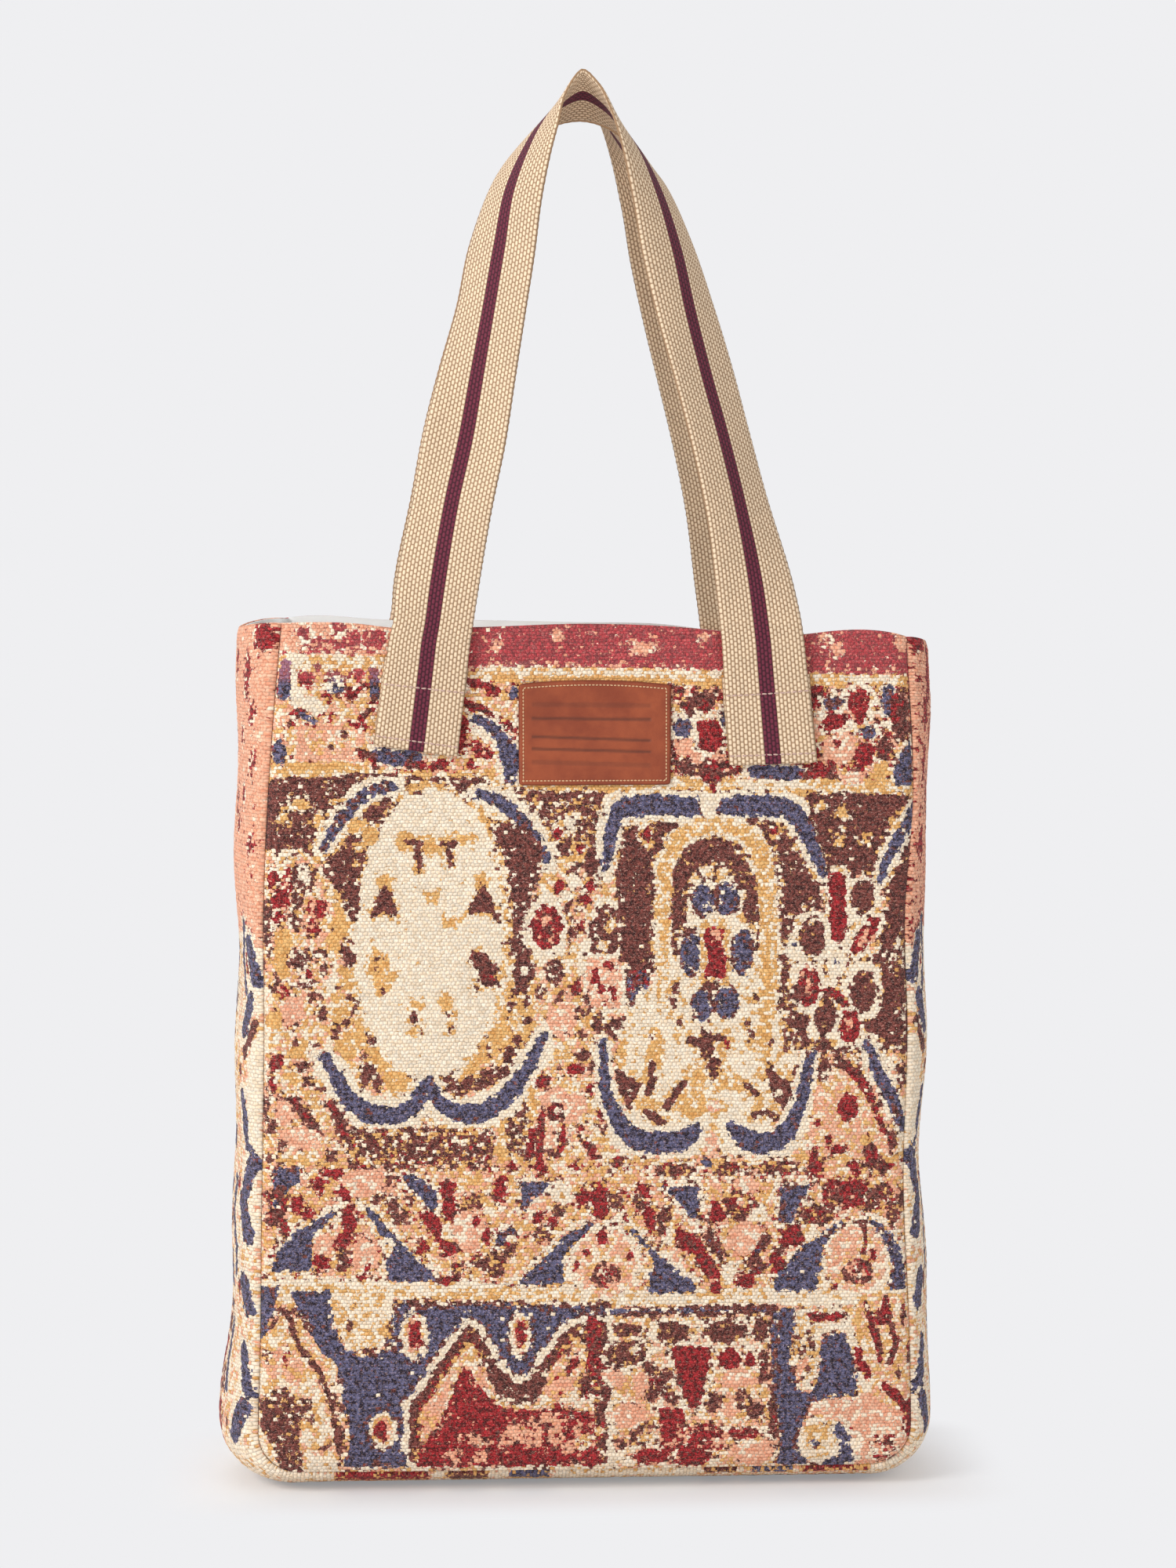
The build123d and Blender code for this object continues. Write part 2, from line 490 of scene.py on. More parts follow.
    def weave(
        self,
        graph: Graph,
        place: Socket,
        cells: WeaveCells,
        chance: Socket,
        colour: Socket,
        dark: Socket,
    ) -> None:
        """Adds the weave's bumps, the pale yarn flecks and the shade between the threads.

        Args:
            graph: the material's graph.
            place: the place on the flat cloth, in millimetres.
            cells: the weave's cells.
            chance: each cell's own random number.
            colour: the print's colour.
            dark: how dark the print is from 0 to 1.
        """
        flat_dome = graph.math("MULTIPLY", graph.rounded(cells.across), graph.rounded(cells.along))
        dome = graph.math("POWER", flat_dome, 0.6)
        yarn = graph.vector("MULTIPLY", place, self.fibre_stretch)
        fibres = graph.noise(yarn, self.fibre_reach, 2.0, 0.6).outputs[0]
        specks = graph.noise(yarn, self.speck_reach, 2.0, 0.7).outputs[0]
        fleck = graph.math(
            "MAXIMUM", graph.between(fibres, 0.56, 0.64), graph.between(specks, 0.57, 0.64)
        )
        share = graph.math("MULTIPLY", graph.math("MULTIPLY", fleck, self.fleck_strength), dark)
        flecked = graph.mix(share, colour, graph.mix(1.0, colour, self.fleck_tint, how="ADD"))
        own_tone = graph.math("MULTIPLY_ADD", chance, 0.22, 0.89)
        valley = graph.between(dome, 0.0, 0.62, (self.valley_shade, 1.0))
        graph.dress(graph.scaled(flecked, graph.math("MULTIPLY", own_tone, valley)), 0.92, 0.25, 0.08)
        graph.relief(graph.math("MULTIPLY_ADD", fibres, 0.35, dome), self.bump_depth, 0.8)


@dataclass(frozen=True)
class StripedWebbing:
    """Heavy ribbed webbing in natural beige with a dark red stripe down its middle; its colours carry a
    painted highlight on each rib top and painted shade between the ribs.
    """

    name: str = "striped_webbing"
    rib: float = 1.68
    pick: float = 2.5
    stripe_half: float = 3.05
    stripe_blur: float = 0.3

    def material(self) -> bpy.types.Material:
        """Builds the material. It reads the flat cloth's coordinates: across, then along."""
        graph = Graph(self.name)
        place = graph.flat_place()
        across, along, _ = graph.parts(place)
        picks = weave_cells(graph, along, across, self.pick, self.rib)
        dome = graph.math(
            "MULTIPLY",
            graph.math("POWER", graph.rounded(picks.along), 0.8),
            graph.math("POWER", graph.rounded(picks.across), 0.55),
        )
        fibres = graph.noise(graph.vector("MULTIPLY", place, (3.0, 1.0, 1.0)), 0.8).outputs[0]
        rib_middle = graph.math("MULTIPLY", graph.math("ADD", picks.row, 0.5), self.rib)
        zigzag = graph.math("MULTIPLY", graph.math("ABSOLUTE", picks.across), 0.9)
        from_middle = graph.math("ADD", graph.math("ABSOLUTE", rib_middle), zigzag)
        edges = (self.stripe_half, self.stripe_half + self.stripe_blur)
        striped = graph.between(from_middle, *edges, to=(1.0, 0.0))
        # Painted light: the beige and the red each run from a shaded copy between the ribs to a lit copy
        # on the rib tops.
        painted_rib_light = graph.between(dome, 0.15, 0.85)
        beige = graph.mix(painted_rib_light, linear(164, 130, 98), linear(244, 218, 186))
        red = graph.mix(painted_rib_light, linear(62, 18, 34), linear(116, 42, 62))
        own = graph.chance(graph.joined(picks.row, picks.column), "2D").outputs["Value"]
        tone = graph.math("MULTIPLY_ADD", own, 0.12, 0.94)
        tone = graph.math("MULTIPLY", tone, graph.math("MULTIPLY_ADD", fibres, 0.24, 0.88))
        graph.dress(graph.scaled(graph.mix(striped, beige, red), tone), 0.78, 0.35, 0.05)
        graph.relief(graph.math("MULTIPLY_ADD", fibres, 0.15, dome), 0.45, 0.8)
        return graph.material


@dataclass(frozen=True)
class CottonLining:
    """Fine white cotton with a light crease here and there, with painted shade in the creases' hollows.
    """

    name: str = "cotton_lining"
    cell_width: float = 0.7
    cell_height: float = 0.55
    crease_reach: float = 38.0

    def material(self) -> bpy.types.Material:
        """Builds the material. It reads the flat cloth's coordinates."""
        graph = Graph(self.name)
        place = graph.flat_place()
        across, along, _ = graph.parts(place)
        cells = weave_cells(graph, across, along, self.cell_width, self.cell_height)
        dome = graph.math("MULTIPLY", graph.rounded(cells.across), graph.rounded(cells.along))
        crease = graph.noise(place, self.crease_reach, 3.0, 0.6).outputs[0]
        # Painted shade: the colour is darker where the crease noise is low, in the creases' hollows, and
        # lighter on their tops.
        tone = graph.between(crease, 0.3, 0.7)
        graph.dress(graph.mix(tone, linear(238, 236, 233), linear(250, 249, 247)), 0.88)
        graph.relief(graph.math("MULTIPLY_ADD", crease, 6.0, dome), 0.18, 0.6)
        return graph.material


@dataclass(frozen=True)
class TanLeather:
    """Smooth tan leather, a little darker at its cut edge and in its pressed lines."""

    name: str = "tan_leather"
    cloud_reach: float = 14.0
    pore_reach: float = 0.35
    grains_per_mm: float = 1.9

    def material(self) -> bpy.types.Material:
        """Builds the material. It reads the piece's own wear field and object coordinates."""
        graph = Graph(self.name)
        place = graph.object_place()
        wear = graph.node("ShaderNodeAttribute", attribute_name="wear").outputs["Vector"]
        pressed, edge, _ = graph.parts(wear)
        cloud = graph.between(graph.noise(place, self.cloud_reach, 4.0, 0.6).outputs[0], 0.3, 0.7)
        base = graph.mix(cloud, linear(134, 56, 26), linear(158, 74, 38))
        in_lines = graph.math("MULTIPLY", pressed, 0.65)
        darker = graph.math("MAXIMUM", in_lines, graph.math("MULTIPLY", edge, 0.6))
        graph.dress(graph.mix(darker, base, linear(84, 40, 24)), 0.5, 0.45)
        graph.put(graph.shader.inputs["Roughness"], graph.between(cloud, 0.0, 1.0, (0.42, 0.55)))
        grain = graph.node("ShaderNodeTexVoronoi", feature="F1")
        graph.put(grain.inputs["Vector"], place)
        grain.inputs["Scale"].default_value = self.grains_per_mm
        pores = graph.noise(place, self.pore_reach).outputs[0]
        graph.relief(graph.math("MULTIPLY_ADD", pores, 0.6, grain.outputs["Distance"]), 0.10, 0.5)
        return graph.material


@dataclass(frozen=True)
class PaleThread:
    """Twisted sewing thread."""

    name: str
    tint: Colour
    twists_per_mm: float = 1.3
    groove_shade: float = 0.62

    def material(self) -> bpy.types.Material:
        """Builds the material. It reads object coordinates."""
        graph = Graph(self.name)
        twist = graph.node("ShaderNodeTexWave", wave_type="BANDS", bands_direction="DIAGONAL")
        graph.put(twist.inputs["Vector"], graph.object_place())
        twist.inputs["Scale"].default_value = self.twists_per_mm
        darker = tuple(self.groove_shade * value for value in self.tint[:3]) + (1.0,)
        graph.dress(graph.mix(twist.outputs["Fac"], darker, self.tint), 0.6)
        graph.relief(twist.outputs["Fac"], 0.12, 0.6)
        return graph.material


# The print


class Painter:
    """Lays simple shapes of colour on flat cloth as six fields, one for each ink.

    A field is about the distance in millimetres inside an ink's shapes, below 0 outside. Where
    it stands highest, that ink shows. Every shape takes a halo, the width of a cream line round
    it, and the inks that fleck it, as in brown=1.8: how far each stays behind the main one.
    Places are written as 'x,z', with a shape's own sizes after them.
    """

    CAP = 3.0
    FLECK_RISE = 1.5
    SPOT_TALLNESS = 1.15
    SCATTER_REACH = 12.0
    FAR_OUTSIDE = 1e3

    def __init__(self, x: np.ndarray, z: np.ndarray, ground: Ink = Ink.MUSTARD) -> None:
        """Starts on plain ground of one ink."""
        self.x = x
        self.z = z
        self.fields = np.full((len(Ink), *x.shape), -self.CAP)
        self.fields[ground.value] = self.CAP

    def draw(self, band: str) -> None:
        """Draws a band of shapes, one on each line.

        Args:
            band: lines such as 'stroke brown 1.5 halo=1 cream=2: 40,229 39,219', which hold a
                kind of shape, its ink, its size, its other marks and its places. An indented
                line goes on with the one above it.
        """
        for line in band.strip().replace("\n  ", " ").split("\n"):
            words, places = line.split(": ")
            kind, ink, *marks = words.split()
            sizes = [float(mark) for mark in marks if "=" not in mark]
            named = dict(mark.split("=") for mark in marks if "=" in mark)
            more = {name: float(value) for name, value in named.items()}
            getattr(self, kind)(Ink[ink.upper()], places, *sizes, **more)

    def lay(self, ink: Ink, inside: np.ndarray, halo: float = 0.0, **flecks: float) -> None:
        """Lays one shape over what is there.

        Args:
            ink: the shape's main ink.
            inside: the distance inside the shape in millimetres, below 0 outside.
            halo: the width of a cream line round the shape.
            flecks: other inks by name, with how far each stays behind the main one.
        """
        if halo:
            self.lay(Ink.CREAM, inside + halo)
        depth = np.minimum(inside, self.CAP)
        for other in Ink:
            if other is ink:
                self.fields[other.value] = np.maximum(self.fields[other.value], depth)
            else:
                self.fields[other.value] = np.minimum(self.fields[other.value], -depth)
        for name, behind in flecks.items():
            row = Ink[name.upper()].value
            held = np.minimum(depth * self.FLECK_RISE, self.CAP) - behind
            self.fields[row] = np.maximum(self.fields[row], held)

    def points(self, route: str) -> list[tuple[float, ...]]:
        """Reads places written as 'x,z x,z', each with the sizes it may add."""
        return [tuple(float(value) for value in place.split(",")) for place in route.split()]

    def spot(self, ink: Ink, x: float, z: float, wide: float, tall: float, **more: float) -> None:
        """Lays an ellipse of half sizes wide and tall."""
        reach = np.hypot((self.x - x) / wide, (self.z - z) / tall)
        self.lay(ink, (1 - reach) * min(wide, tall), **more)

    def spots(self, ink: Ink, places: str, size: float = 2.0, **more: float) -> None:
        """Lays spots at places 'x,z,wide,tall', or of one size at 'x,z'."""
        for x, z, *own in self.points(places):
            wide, tall = own or (size, size * self.SPOT_TALLNESS)
            self.spot(ink, x, z, wide, tall, **more)

    def block(self, ink: Ink, sides: str, **more: float) -> None:
        """Lays a rectangle with its sides at 'left,right,low,high'."""
        left, right, low, high = self.points(sides)[0]
        across = np.minimum(self.x - left, right - self.x)
        upright = np.minimum(self.z - low, high - self.z)
        self.lay(ink, np.minimum(across, upright), **more)

    def distance(self, points: list[tuple[float, ...]], thick: float) -> np.ndarray:
        """Gives how far inside a stroke through points each place lies."""
        best = np.full(self.x.shape, -self.FAR_OUTSIDE)
        for start, end in zip(points, points[1:]):
            dx, dz = end[0] - start[0], end[1] - start[1]
            length = max(dx * dx + dz * dz, 1e-6)
            t = np.clip(((self.x - start[0]) * dx + (self.z - start[1]) * dz) / length, 0, 1)
            from_line = np.hypot(self.x - start[0] - t * dx, self.z - start[1] - t * dz)
            thick_start = start[2] if len(start) > 2 else thick
            thick_end = end[2] if len(end) > 2 else thick
            best = np.maximum(best, thick_start + t * (thick_end - thick_start) - from_line)
        return best

    def stroke(self, ink: Ink, routes: str, thick: float = 0.0, **more: float) -> None:
        """Lays a stroke along each route, where a point may add a thickness of its own."""
        for route in routes.split("/"):
            self.lay(ink, self.distance(self.points(route), thick), **more)

    def area(self, ink: Ink, routes: str, grow: float = 0.0, **more: float) -> None:
        """Lays a closed area inside each route, grown or shrunk on all sides."""
        for route in routes.split("/"):
            corners = self.points(route)
            following = [*corners[1:], corners[0]]
            from_edge = -self.distance([*corners, corners[0]], 0.0)
            crossings = np.zeros(self.x.shape, dtype=int)
            for (x0, z0), (x1, z1) in zip(corners, following):
                spans = (self.z >= min(z0, z1)) & (self.z < max(z0, z1))
                if z0 != z1:
                    meets = x0 + (self.z - z0) * (x1 - x0) / (z1 - z0)
                    crossings += spans & (self.x < meets)
            self.lay(ink, np.where(crossings % 2 == 1, from_edge, -from_edge) + grow, **more)

    def scatter(self, ink: Ink, box: str, size: float, count: float, seed: float) -> None:
        """Lays small uneven spots at random places.

        Args:
            ink: their ink.
            box: where they lie, as 'left,right,low,high'.
            size: their usual half width in millimetres.
            count: how many.
            seed: which unevenness.
        """
        draw = np.random.default_rng(int(seed))
        left, right, low, high = self.points(box)[0]
        for _ in range(int(count)):
            x, z = draw.uniform(left, right), draw.uniform(low, high)
            wide = size * draw.uniform(0.6, 1.4)
            beside = np.abs(self.x - x) < self.SCATTER_REACH
            if (beside & (np.abs(self.z - z) < self.SCATTER_REACH)).any():
                self.spot(ink, x, z, wide, wide * draw.uniform(0.8, 1.9))

    def stored(self) -> dict[str, np.ndarray]:
        """Gives the fields as the two vectors that the cloth's material reads."""
        return {
            "print_a": np.moveaxis(self.fields[:3], 0, -1),
            "print_b": np.moveaxis(self.fields[3:], 0, -1),
        }


# The bands' ground colours
GROUNDS = """
block mustard salmon=.3 cream=.2 crimson=2.2: -200,20,318,400
block crimson salmon=.8 mustard=1 cream=1.2 brown=.6: 36,200,318,400
block brown mustard=1 cream=1: -200,200,148,321
block mustard cream=0 salmon=.9 brown=1.7: -200,-38,148,262
block mustard cream=0 salmon=1 brown=1.9: -24,200,148,285
block mustard salmon=.3 cream=.5 crimson=1.4 brown=1.5: -200,200,92,150
block mustard cream=.2 salmon=.6 brown=1.5: -200,200,0,92
stroke mustard 2.6 cream=.2: -145,325 -104,324 -84,321 20,319.5 70,318 150,316
stroke cream 3.4 mustard=.4: -145,93.5 -60,92 20,88 150,88.5
"""

# The band under the rim
TOP_BAND = """
block salmon cream=1.5 crimson=2: -160,-84,375.5,400
block crimson cream=2.6 salmon=1.9 brown=2.2: -56,64,368.5,400
block crimson salmon=1.7 cream=2.2 brown=1.8: 93,160,366.5,400
spots crimson salmon=1.4 brown=1.8: -116,380,6,2.8 -103,382,4,5 -94,382,5,4 -124,386 -109,388
spots salmon 1.6: 25,379,4.5,2 -40,380 -12,384 52,383 107,382 112,377 141,382,3,4
spots crimson halo=1.8 salmon=1.8: -17,338,5,7 3,352,5,4 20,336,5,6 -24,357,3,4
stroke blue 2.6 halo=1.4 brown=1.8: -10,328 0,333 10,328 / -27,346 -24,334 -27,326
spots brown halo=1 crimson=1.4: -4,343,3,2 12,346,3,4 30,356,4,3 30,344,4,7 30,326,4,4
stroke mustard 3 cream=0: -142,373 -84,372.5
stroke mustard 2.8 cream=.2: -50,366 -40,368 20,367 64,365.5
stroke mustard 2.3 cream=.2: 95,365 140,364.5
"""

# The border band from the left seam to the patch
BORDER_LEFT = """
block salmon mustard=.4 cream=.8: -126,-100,331,344
stroke cream 2.2: -130,374 -128.5,358 -123,352.5 -118,352.5
stroke blue 2.8 brown=1.6: -132.5,372,2.6 -133,366,3 -133.5,358,2.8
spots crimson: -123.5,365,3.2,3.8 -100.5,367,2.6,3 -114,357.5,1.6,2.4 -111.7,348.8,1.4,1.4
  -100,345,3.2,1.8
spots brown: -118.5,371,1.4,2.6 -111,367,4,1.6 -106.8,340.5,2.2,2 -131,345,1.8,1.8 -112.4,335,1.4,1.4
spots brown: -110.5,362.5,5.2,5.4
spots cream blue=.2: -110.5,362.5,4,4
stroke crimson 1.5 brown=1: -104.5,356.8 -97.3,362.6 / -106,362 -103,357
stroke blue 2.2 brown=.6: -94,369 -93,362 -93,357
stroke brown 1.6 crimson=.8: -93.6,352.4 -99.4,347.5 / -127.7,349 -125,351
stroke blue 1.7: -125,349.5 -120,346.5
spots blue brown=1.6: -135.5,333,3.6,5.6
stroke blue 3.4 halo=1.4 brown=1.8: -92.5,331.5 -84,330 -76,330.5
stroke brown 1.8 crimson=.6: -100,333 -95,331 -93,326 / -79,327 -72,327
spots crimson brown=1.4: -65,327,5,2.6 -48,334,2.8,3.4 -43,331.5,2,2.6 -51,327.5,2,2
stroke crimson 2.4: -54,347 -55.5,335
stroke crimson 2 brown=.9: -51,363.5 -45,362.5 -39.5,359 / -54.6,355 -47,352 -40,347.5 -31.5,342
spots blue: -32,359,2.4,3.8
stroke blue 3.4 halo=1.6 brown=1.9: -49,347.4,2 -41,343.5,2.8 -36,337,3.6 -33,330,4 -33.5,322,3.2
"""

# The border band from the patch to the right seam
BORDER_RIGHT = """
spots cream brown=.4: 47,349,8,2.6 66,352,2.6,5
spots brown crimson=.6: 46,353,3,3.4 53,354,3.4,3 56,324,5.4,6 45,325,1.8,3
spots blue halo=1.4 brown=1.6: 43,343,4.6,4 61.6,345,1.9,4.4
area crimson .6 halo=1.4: 50,345 56,346 60,343 61,336 56,331.5 51,335
spots salmon: 44,335,3,3.4 59,331,2,2 49,330,1.8,1.8
stroke blue 3 halo=1.4 brown=1.8: 75,323.5 84,323 94,323
spots crimson brown=1: 101,323,4.4,3 103,357,4,4.4 118,323,2.4,1.8
spots blue halo=1.2 brown=.9: 110,353.5,4.4,3.2 135,355,2.8,7 126,341,3.4,3
spots crimson halo=1.6 salmon=1.8: 121.5,353,4.6,8.4
spots crimson halo=1.2: 110.5,346,5.6,4.2
spots salmon cream=1: 113.5,335,7,6
spots crimson brown=1.2: 111.4,336,2.2,2.6 124.5,332,4,5
spots salmon cream=.8: 119,320.5,6,3 103,347,2,5
spots brown crimson=.5: 139,351,3.6,9 132,333,2.4,4.4 141,343,2,3 100,349,1.6,3
area blue halo=1 brown=1.8: 145,337 147,326 146,317 137,317 137,324 141,332
spots mustard: 132,324,3,5 128,320,4,2
"""

# The large oval at the left and the blue garlands above and below it
LEFT_MEDALLION = """
block brown mustard=1.9 cream=1.8: -142,-100,287,322
stroke brown 5 cream=1.6 mustard=2: -104,319 -84,318 -70,317 -46,317
spots mustard: -126.5,310,3,2 -118,303,1.6,2.4 -134,304,1.8,1.8 -64,314,2,2.6
spots mustard brown=1.5 cream=0: -69.5,250,38,68
spots cream mustard=2.2: -70,251,31,61
spots cream mustard=2.2: -72,224,25,30 -68,290,24,24
stroke blue 2.6 halo=2.4 brown=.9 cream=2: -117,289,1.4 -113,296,2 -108,303.5,2.6 -101,311.5,2.6
  -93,317,3 -85,317.5,2
stroke blue 2.8 halo=2.2 brown=1.9: -47,314,2.2 -38,311,3 -29,303,3 -22,294,2.4 -17,285,1.6
spots brown mustard=1.8: -93,306,4.6,4.4 -88,309,3,2.4 -102,290,3.4,4.4 -100,283,1.8,3
spots mustard: -102,300,3.4,3 -95,296,2.2,2 -110,260,2.4,7 -117,274,2,2
spots cream: -101,290.5,1.6,1.8
stroke brown 2.3 cream=2: -112,286 -110,278 -106,273 -103,268 / -103.5,280 -102.5,262 -107,266 / -108,247
  -105,240 / -106,223 -104,218
area brown .6 cream=2: -34,301 -27,299 -20,291 -21,278 -24.5,268 -25,246 -27,241 -32,243 -32,262 -34,280
  -40,296
spots brown: -27.5,235,5,5.4
spots cream: -27,235,1.9,2.2
spots mustard: -80,293,4,4 -69,291,3.4,4 -55,294,5,2.6 -65,291,2,2
stroke brown 1.7: -78,293 -73,292.5 / -74,291 -74,281 / -63.5,292.5 -58.5,292 / -61,290 -59.5,283
spots mustard: -89,275,3,4 -46,275,3,4
area brown .6: -95,260 -90,262 -88,262 -83,259 -85,267 -89,274 -92,268 / -52,260 -47,262 -45,262 -40,259
  -42,267 -46,274 -49,268
spots mustard: -67.5,268,3,2 -60,257.5,2.6,1.6 -92.4,238,4,6.4 -86.4,233.6,2,1.5 -90,228,2.4,2.6
spots brown: -92.4,241,2.2,1.4 -92.4,236,1.4,1.2 -90,226.5,1.5,1.5
area brown .8 crimson=1.5: -51,244 -44,243 -41,236 -40.5,229 -46,229 -47,236 -51,240
spots brown: -48,228,1.5,1.8 -76.4,215,2.2,3 -60.5,216,1.8,2 -73.6,209,1.2,1.4 -60.5,209.5,1.2,1.4
spots mustard: -75,220,2,2 -76,209,1.6,1.6 -62.5,221,2.2,3.4
spots brown: -97,190,3,4.4 -93,187,2,3 -106,212,1.4,2.4 -112,210,1.4,3 -96,205,1.2,1.6 -99,199,1.2,1.6
spots mustard cream=.8: -104,203,6,5 -109,219,5,6 -85,187,6,2.6 -78,184,3,2 -43,201,3,3 -28,214,4,9
  -36,206,3,4
spots brown: -25.8,213,2.4,2 -33,219,1.3,2 -30,205,1.4,2.6 -27,226,1.5,1.6 -43,201,1.3,1.6 -35,198,1.2,1.4
stroke brown 3 cream=1.8 mustard=1.8: -64,185 -55,183.5 -47,186 -38,190
block brown mustard=.9 cream=1 crimson=1.2: -106,-42,148.5,165
stroke blue 3.6 halo=2.4 brown=2.4: -123,209,1.6 -116.4,198.9,2.4 -110.6,187.3,3 -105.5,178.5,3.8
  -97.5,172.5,4.2 -86,171,4.2 -77,174.5,3.6 -70,186.5,2.6 -65.7,177,3 -57,171.8,4.2 -45.4,171.8,4.4
  -35.3,179,4 -26.6,190.5,3.2 -18.5,206,1.8
"""

# The small flowers between the left seam and the oval
LEFT_COLUMN = """
block cream mustard=.4 salmon=1 brown=2.2: -144,-113,200,288
spots crimson halo=.8 salmon=2.2: -138.5,277,2.6,5.6 -132.5,276,3,6 -135,267,4.2,5.6 -136,260,2.6,3
spots brown cream=1.4: -125,278,5,6.4 -128,267,2.4,4 -130,259,2.6,4 -142.5,259,2.8,10 -113,281,3,6
spots cream: -125,279,1.6,1.8
spots crimson salmon=1.4: -119,263.5,5.4,4.6 -121,255.5,3.4,4 -122.5,234.5,2.2,2.4 -133.7,227,2.4,3.6
  -131,212.5,2,2
spots salmon cream=1.2: -113,263,2,3 -124,259,1.6,3 -131,218,5,6 -117,251,3,2
spots mustard: -134.6,243,2.8,9 -112,249,3,5 -137,215,3,3 -128,201,4,3
spots brown cream=1.2: -127,241,5,4.6 -119,243,4.6,2.4 -124,231,4,2 -137.5,231,1.8,4 -141,249,1.8,5
  -116,236,1.8,3
spots crimson brown=1.2: -145,239,2.6,6.4 -137.5,195,3.2,4.6 -139,185,1.8,4
spots brown: -121,224,2,1.8 -117,218,1.8,3 -126,193,2.4,2 -120,202,1.6,1.8 -129,204,1.4,1.4 -123,187,1.4,2
stroke brown 2 crimson=.5: -130,178.5 -124,171 -119,162.5 / -113.5,177 -110,170 -107.7,162.5
spots salmon cream=.4: -126,162,8,4 -134,173,3,5
spots brown: -140,166,1.6,2.4 -136,158,1.6,1.6 -143,176,1.6,4 -114,153,1.8,3 -141,152,2,2 -118,183,1.6,1.6
"""

# The column of flowers between the two medallions
BETWEEN = """
spots crimson halo=2.6 salmon=2.2 brown=1.8: -17.5,254.5,7.2,10
spots salmon: -18,258,1.5,1.8 -14.5,249.5,1,1.4
spots crimson 2.6: -12,297 -3,290 -12,273 2,273 -2,255,1.8,3 0,267
spots brown: -8.5,264,2,5 -7,253,1.6,3 2,283,3,5 -5,281,2,3 -9,290,1.6,3
spots cream 2.4: -7,301 -6,276 -9,269
area brown halo=1.8 mustard=2.4 cream=2.2: 2,243 14.5,243 14.5,260 11,265 6,264.5 2,256
block brown halo=1.4 mustard=2.2 cream=2: 17,30.5,243,300
spots cream 1.3: 11.3,255.6 7.2,246.3
stroke cream 1.2: 16.2,243 16.2,262 14,266
block salmon halo=1.6 cream=1.6: 1,15.5,219,241
stroke crimson 1.7: 4,235 5,229 8,226 / 9,238 12,236 / 12,228 13,223
spots crimson 1.3 brown=1.6: 8.4,221.3 -4,227,2.8,3.4 -5,191,4.4,3 -19,186,4,3.4 2,182,2.6,2.4
area brown halo=1 crimson=1 blue=.8 cream=1.6: 18,238 24,241 29,236 28,226 24,218 19,218 18,228
spots brown cream=1.8: -14,235,3.6,5 -20,226,2,2.6 -12,223,1.4,2.4 .5,222,1.6,3.4 15,209,5.4,5 21,211,3,4
  5.2,210,1.6,5
spots salmon cream=.9: -11,213,5.4,7 -14,178,5,4 -6,174,5,5 -17,160,3,4
spots brown: -2.6,216,1.6,1.5 -2,206.5,1.3,1.5 -1,197,3,2 3,191,1.6,3 -27,221,1.4,2 9,165,1.6,1.8
spots brown crimson=.6: -13.5,172.5,4.2,4.4
spots cream: -12.5,173,1.7,1.9
stroke crimson 1.8 brown=1: -10,165 -10,158 -13,153 / 0,158 3,155 3,151 / -19.4,171 -21,148 / -24,164
  -25,152
spots crimson 1.8: 6.6,170,1.4,2.6 -20,148,2.4,3 -5,149,1.8,2 -33,149 -2,165
"""

